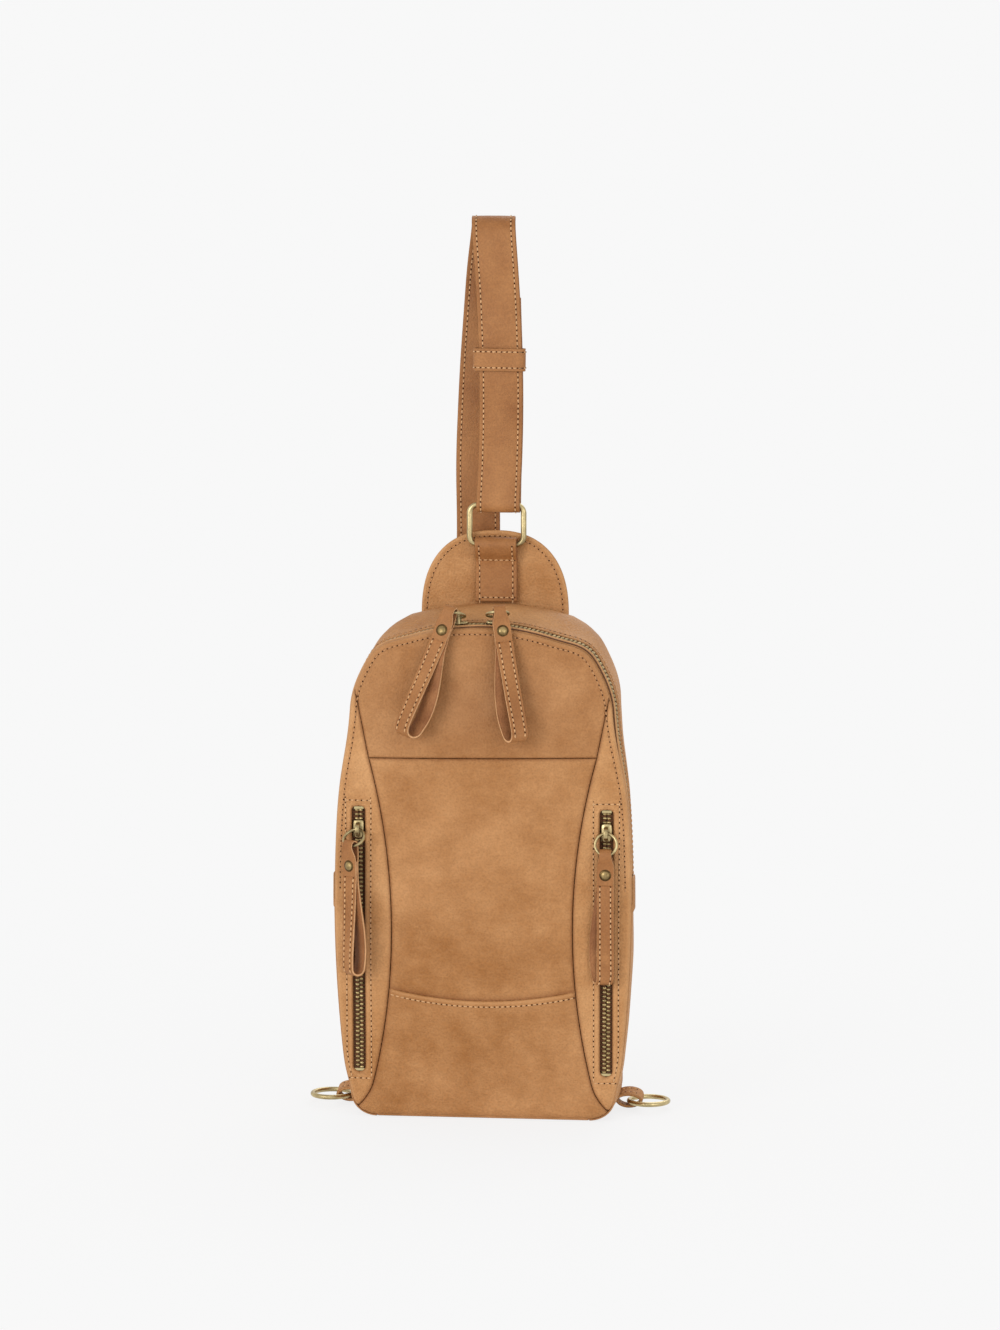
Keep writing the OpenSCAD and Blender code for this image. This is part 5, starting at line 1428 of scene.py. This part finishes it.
def makeMainTeeth():
    full = alongLine(np.concatenate([archPoints, archNormals * 40], 1), np.linspace(0, 1, 900))
    normals = full[:, 2:] / np.linalg.norm(full[:, 2:], axis=1)[:, None]
    line = full[:, :2] - normals * toothCut["inset"]
    outward = atDepth(normals, 0.0)
    for s, name, node, lag in ((-1, "mainFrontTeeth", "main_zip_front_teeth", 0.0),
                               (1, "mainRearTeeth", "main_zip_rear_teeth", toothCut["lag"])):
        points = atDepth(line, mainChain["y"] + s * toothCut["out"])
        keep = runLength(points) >= lag
        addTeeth(name, node, [(points[keep], outward[keep])])


def makePocketTeeth():
    count = 60
    y, foot, length = pocketChain["y"] - toothCut["pocketLift"], pocketChain["foot"], pocketChain["length"]
    outward = np.tile([0.0, -1.0, 0.0], (count, 1))
    for side, name, node in ((1, "rightPocketTeeth", "right_zip_teeth"),
                             (-1, "leftPocketTeeth", "left_zip_teeth")):
        runs = []
        for s, lag in ((-1, 0.0), (1, toothCut["lag"])):
            x = side * (pocketChain["x"] + s * toothCut["out"])
            zs = foot + np.linspace(toothCut["endGap"] + lag, length - toothCut["endGap"], count)
            runs.append((np.stack([np.full(count, x), np.full(count, y), zs], 1), outward))
        addTeeth(name, node, runs)


makeMainTeeth()
makePocketTeeth()
print("zip teeth made")

rivets = {"Cap Width": 0.0074, "Cap Height": 0.0021, "Dome Share": 0.72, "Metal": finishes["rivetBrass"],
          "Rim Metal": finishes["rimBrass"]}
for name, spots in rivetSpots.items():
    caps = growAlong(pathObject(pieceLabel(name) + "Rivet", [spots]), rivetTree, rivets)
    settle(caps, name + "_pull", [name + "_rivet"])

# sliders: two crowned plates, side walls, a wedge and the bail
sliderCut = {"length": 11.5, "half": 3.6, "low": 1.6, "high": 3.1, "bailSpan": 5.4, "bailGap": 5.2,
             "bailWide": 2.4, "bailThick": 1.4, "wallOut": 3.45, "wallIn": 2.85, "wallLow": 0.75,
             "wallHigh": 1.7, "wallFrom": -5.2, "wallTo": 0.5, "wedgeFrom": 3.0, "wedgeTo": 5.0,
             "wedgeHalf": 0.9}


def sliderPlate(sign):
    rows, cols = 25, 21
    s, t = np.meshgrid(np.linspace(-1, 1, rows), np.linspace(-1, 1, cols), indexing="ij")
    half = (0.78 + 0.22 * smooth(-0.8, 0.2, s)) * sliderCut["half"] * (1 - abs(s) ** 4.5) ** (1 / 4.5)
    dome = np.sqrt(np.maximum(1 - abs(t) ** 2.6, 0)) * np.sqrt(np.maximum(1 - abs(s) ** 5, 0))
    top = sliderCut["low"] + 0.55 + (sliderCut["high"] - sliderCut["low"] - 0.3) * dome
    low = np.full_like(top, sliderCut["low"])
    x, y = s * sliderCut["length"] / 2, t * half
    sheets, strip = sheetFaces(rows, cols)
    return np.stack([np.stack([x, y, sign * z], -1) for z in (top, low)]), sheets + strip


def boxPart(low, high):
    xs, ys, zs = zip(low, high)
    verts = np.array([(x, y, z) for x in xs for y in ys for z in zs])
    return verts, [(0, 1, 3, 2), (4, 6, 7, 5), (0, 4, 5, 1), (2, 3, 7, 6), (0, 2, 6, 4), (1, 5, 7, 3)]


def signedPower(values, power):
    return np.sign(values) * abs(values) ** power


def makeSlider(name, spin, shift, nose, turnedBail):
    c = sliderCut
    wedge = boxPart((c["wedgeFrom"], -c["wedgeHalf"], -c["wallHigh"]),
                    (c["wedgeTo"], c["wedgeHalf"], c["wallHigh"]))
    parts = [sliderPlate(1), sliderPlate(-1), wedge]
    for sy in (-1, 1):
        for sz in (-1, 1):
            y = sorted((sy * c["wallOut"], sy * c["wallIn"]))
            z = sorted((sz * c["wallLow"], sz * c["wallHigh"]))
            parts.append(boxPart((c["wallFrom"], y[0], z[0]), (c["wallTo"], y[1], z[1])))
    verts, faces = joinParts(parts)
    label = pieceLabel(name)
    verts = verts * np.array([nose, nose, 1.0]) @ spin.T + shift
    addPiece(label + "Body", verts, faces, name, "brass", ["brass"], [name])
    a = np.radians(np.linspace(-12, 192, 31))
    mid = c["bailThick"] / 2
    along = (c["bailSpan"] / 2 + mid) * signedPower(np.cos(a), 0.7)
    up = c["high"] + (c["bailGap"] + mid) * signedPower(np.sin(a), 0.75)
    way, side = (spin[:, 1], spin[:, 0]) if turnedBail else (spin[:, 0], spin[:, 1])
    path = along[:, None] * way + up[:, None] * spin[:, 2] + shift
    sweepBand(label + "Bail", path, side, way, c["bailWide"], c["bailThick"], name, ["brass", "brass"],
              groove=0.0, crown=0.15, slotName="brass")


for name, x, nose in (("left_main_slider", mainChain["left"], 1),
                      ("right_main_slider", mainChain["right"], -1)):
    lean = math.degrees(math.asin(x / mainChain["radius"]))
    makeSlider(name, turning(("Y", lean)), onChain(x), nose, True)
for name, side in (("left_pocket_slider", -1), ("right_pocket_slider", 1)):
    upright = np.array([[0, 1.0, 0], [0, 0, -1.0], [1.0, 0, 0]])
    upright[:, 1] *= np.linalg.det(upright)
    place = np.array([side * pocketChain["x"], pocketChain["y"], pocketChain["sliderZ"]])
    makeSlider(name, upright, place, 1, False)
print("rivets and sliders made")

# pieces that keep their solid shape take a finish: hardware in brass, and the board in the base
kept = {"rivetBrass": ["strap_end_rivet"], "board": ["base_board"], "brass": [
    "left_main_pull_ring", "right_main_pull_ring", "left_pocket_pull_ring", "right_pocket_pull_ring",
    "strap_ring", "left_lower_ring", "right_lower_ring", "clip_eye", "clip_hook", "clip_gate",
    "pocket_zip_stops"]}
for finish, names in kept.items():
    for name in names:
        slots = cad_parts[name].data.materials
        slots.clear()
        slots.append(finishes[finish])

# inside of the bag: a foam pad behind the back, lining cloth and a pouch behind each pocket zip
inside = {"foamRound": 1.6, "foamFill": 0.8, "ripple": 0.35, "rippleSize": 21.0, "bandRippleSize": 16.0,
          "cloth": 0.4, "pouchCloth": 0.35, "pouchIn": 24.0, "pouchHalf": 5.3, "pouchRound": 0.7}


def boxMm(node):
    low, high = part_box(node)
    return np.array(low) / mm, np.array(high) / mm


# rings of the outline, drawn in by an inset and closed on a line down the middle
def insetRings(inset, taper, steps):
    loop = closedLoop(edgePoints) - closedLoop(edgeNormals) * inset
    loop[:, 0] *= 1 - taper * (1 - narrow(loop[:, 1], bag["backY"]))
    heart = np.stack([np.zeros(len(loop)), np.clip(loop[:, 1], 70, 230)], 1)
    flat = np.array([loop + (heart - loop) * t for t in steps])
    return flat, nearest(flat, np.concatenate([loop, loop[:1]]))


# how far a node's edge lies inside the bag's
def edgeInset(high):
    return bag["width"] / 2 - high[0]


def addCloth(name, node, verts, faces):
    cloth = addPiece(name, verts, faces, "bag", "lining", ["lining"], [node], solid=False)
    return cloth, sum(f.area for f in cloth.data.polygons)


def makeFoam():
    low, high = boxMm("back_foam")
    steps = np.concatenate([[0, 0.006, 0.014, 0.026, 0.045], np.linspace(0.08, 1, 16)])
    flat, edge = insetRings(edgeInset(high) + 0.5, 1.0, steps)
    soft = rollIn(edge, 3.0, inside["foamRound"])
    rear = high[1] - 0.25 - soft
    front = low[1] + 0.1 + soft + 0.3 * smooth(40, 0, edge)
    rows, cols = flat.shape[:2]
    n = rows * cols
    verts = np.stack([atDepth(flat, y) for y in (front, rear)])
    sheet = gridFaces(rows, cols, wrapCols=True)
    faces = sheet + [tuple(n + k for k in f[::-1]) for f in sheet]
    faces += [(k, (k + 1) % cols, n + (k + 1) % cols, n + k) for k in range(cols)]
    pad = addPiece("backFoamPad", verts, faces, "bag", "foam", ["foam"], ["back_foam"])


def makeLining(name, node, inset, taper, rearward):
    low, high = boxMm(node)
    steps = np.concatenate([[0, 0.02], np.linspace(0.06, 1, 18)])
    flat, edge = insetRings(edgeInset(high) + inset, taper, steps)
    ripple = inside["ripple"] * cloudNoise(flat[..., 0], flat[..., 1], inside["rippleSize"], "lining")
    y = (low[1] + high[1]) / 2 + rearward * ripple * smooth(1, 14, edge)
    cloth, area = addCloth(name, node, atDepth(flat, y), gridFaces(*flat.shape[:2], wrapCols=True))
    thicken(cloth, inside["cloth"])


def makeGussetLining():
    low, high = boxMm("gusset_lining")
    loop, normals = closedLoop(edgePoints), closedLoop(edgeNormals)
    count = 16
    ys = np.linspace(low[1] + 0.1, high[1] - 0.1, count)
    ripple = cloudNoise(runLength(loop)[:, None], ys, inside["bandRippleSize"], "gussetLining")
    ripple = inside["ripple"] * ripple * np.sin(np.linspace(0, math.pi, count))
    inset = edgeInset(high) + 0.7 + 0.5 * abs(ripple)
    flat = loop[:, None] - normals[:, None] * inset[..., None]
    flat[..., 0] *= narrow(loop[:, 1, None], ys)
    cloth, area = addCloth("gussetLiningCloth", "gusset_lining", atDepth(flat, ys),
                           gridFaces(len(loop), count, wrapRows=True))
    thicken(cloth, inside["cloth"])


def makePouch(side, name, node):
    low, high = boxMm(node)
    half, bottom, top = inside["pouchHalf"], slotCut["bottom"], slotCut["top"]
    ends = [np.stack([half * np.cos(a), z + half * inside["pouchRound"] * np.sin(a)], 1)
            for a, z in ((np.linspace(-math.pi, 0, 13), bottom + 1), (np.linspace(0, math.pi, 13), top - 1))]
    zs = np.linspace(bottom + 1, top - 1, 40)[1:-1]
    right, left = np.stack([np.full(38, half), zs], 1), np.stack([np.full(38, -half), zs[::-1]], 1)
    line = np.concatenate([ends[0], right, ends[1], left])
    wide = line.copy()
    wide[:, 0] -= inside["pouchIn"] * smooth(half, -half, line[:, 0])
    rows = [(line, low[1] + 0.05), (line, (low[1] + high[1]) / 2), (line, high[1] - 0.9),
            (wide, high[1] - 0.75), (wide, high[1] - 0.3)]
    heart = np.stack([np.full(len(line), wide[:, 0].mean()), np.clip(line[:, 1], bottom + 14, top - 14)], 1)
    rows += [(wide + (heart - wide) * t, high[1] - 0.22 + 0.1 * t) for t in np.linspace(0, 1, 9)[1:]]
    place, flip = np.array([slotCut["x"], 0.0]), np.array([side, 1.0])
    verts = np.array([atDepth((q + place) * flip, y) for q, y in rows])
    cloth, area = addCloth(name, node, verts, gridFaces(len(rows), len(line), wrapCols=True))
    thicken(cloth, inside["pouchCloth"])


makeFoam()
makeLining("frontLiningCloth", "front_lining", 0.6, 0.2, 1)
makeLining("backLiningCloth", "back_lining", 2.0, 1.0, -1)
makeGussetLining()
makePouch(1, "rightPocketPouch", "right_pocket_lining")
makePouch(-1, "leftPocketPouch", "left_pocket_lining")
print("foam and linings made")

# pale floor, soft studio light; each lamp has a place, a size and a power
studio = {"pale": 0.938, "worldLight": 0.78, "floorShadow": 0.14, "shadowNear": 0.12, "shadowFar": 0.9,
          "floorHalf": 30.0, "floorZ": -0.0003, "aim": (0, 0, 0.25)}
lamps = {"key": ((-1.25, -2.0, 0.72), 1.2, 21.0), "fill": ((1.4, -1.9, 0.5), 1.5, 11.5),
         "rim": ((0.3, 1.4, 1.5), 1.2, 8.0)}
white = (1, 1, 1, 1)


# 1 for what the camera sees, straight, mirrored or through glass
def seenDirectly(tree):
    light = addNode(tree, "ShaderNodeLightPath").outputs
    mirrored = mathNode(tree, "MAXIMUM", light["Is Camera Ray"], light["Is Glossy Ray"])
    return mathNode(tree, "MAXIMUM", mirrored, light["Is Transmission Ray"])


def makeWorld():
    world = bpy.data.worlds.new("studioWorld")
    scene.world = world
    world.use_nodes = True
    tree = world.node_tree
    glow = tree.nodes["Background"].inputs
    glow["Color"].default_value = white
    strength = remap(tree, seenDirectly(tree), 0.0, 1.0, studio["worldLight"], studio["pale"])
    feed(tree, glow["Strength"], strength)


def makeFloor():
    mat = bpy.data.materials.new("paleFloor")
    mat.use_nodes = True
    tree = mat.node_tree
    tree.nodes.remove(tree.nodes["Principled BSDF"])
    matt = addNode(tree, "ShaderNodeBsdfDiffuse", {"Color": (0.9, 0.9, 0.9, 1)}).outputs[0]
    shine = addNode(tree, "ShaderNodeEmission", {"Color": white, "Strength": studio["pale"]}).outputs[0]
    away = addNode(tree, "ShaderNodeVectorMath", {0: objectPlace(tree)}, operation="LENGTH").outputs["Value"]
    near = remap(tree, away, studio["shadowNear"], studio["shadowFar"], studio["floorShadow"], 0.0)
    share = mathNode(tree, "MULTIPLY", seenDirectly(tree), mathNode(tree, "SUBTRACT", 1.0, near))
    blend = addNode(tree, "ShaderNodeMixShader", {0: share, 1: matt, 2: shine}).outputs[0]
    feed(tree, tree.nodes["Material Output"].inputs["Surface"], blend)
    mesh = bpy.data.meshes.new("paleFloor")
    half, z = studio["floorHalf"], studio["floorZ"]
    corners = [(-half, -half, z), (half, -half, z), (half, half, z), (-half, half, z)]
    mesh.from_pydata(corners, [], [(0, 1, 2, 3)])
    mesh.materials.append(mat)
    addObject("paleFloor", mesh)


def makeLamps():
    for name, (place, size, power) in lamps.items():
        data = bpy.data.lights.new(name + "Light", "AREA")
        data.size = size
        data.energy = power
        lamp = addObject(name + "Light", data)
        lamp.location = place
        lamp.rotation_euler = (Vector(studio["aim"]) - Vector(place)).to_track_quat("-Z", "Y").to_euler()


makeWorld()
makeFloor()
makeLamps()
print("stage set")
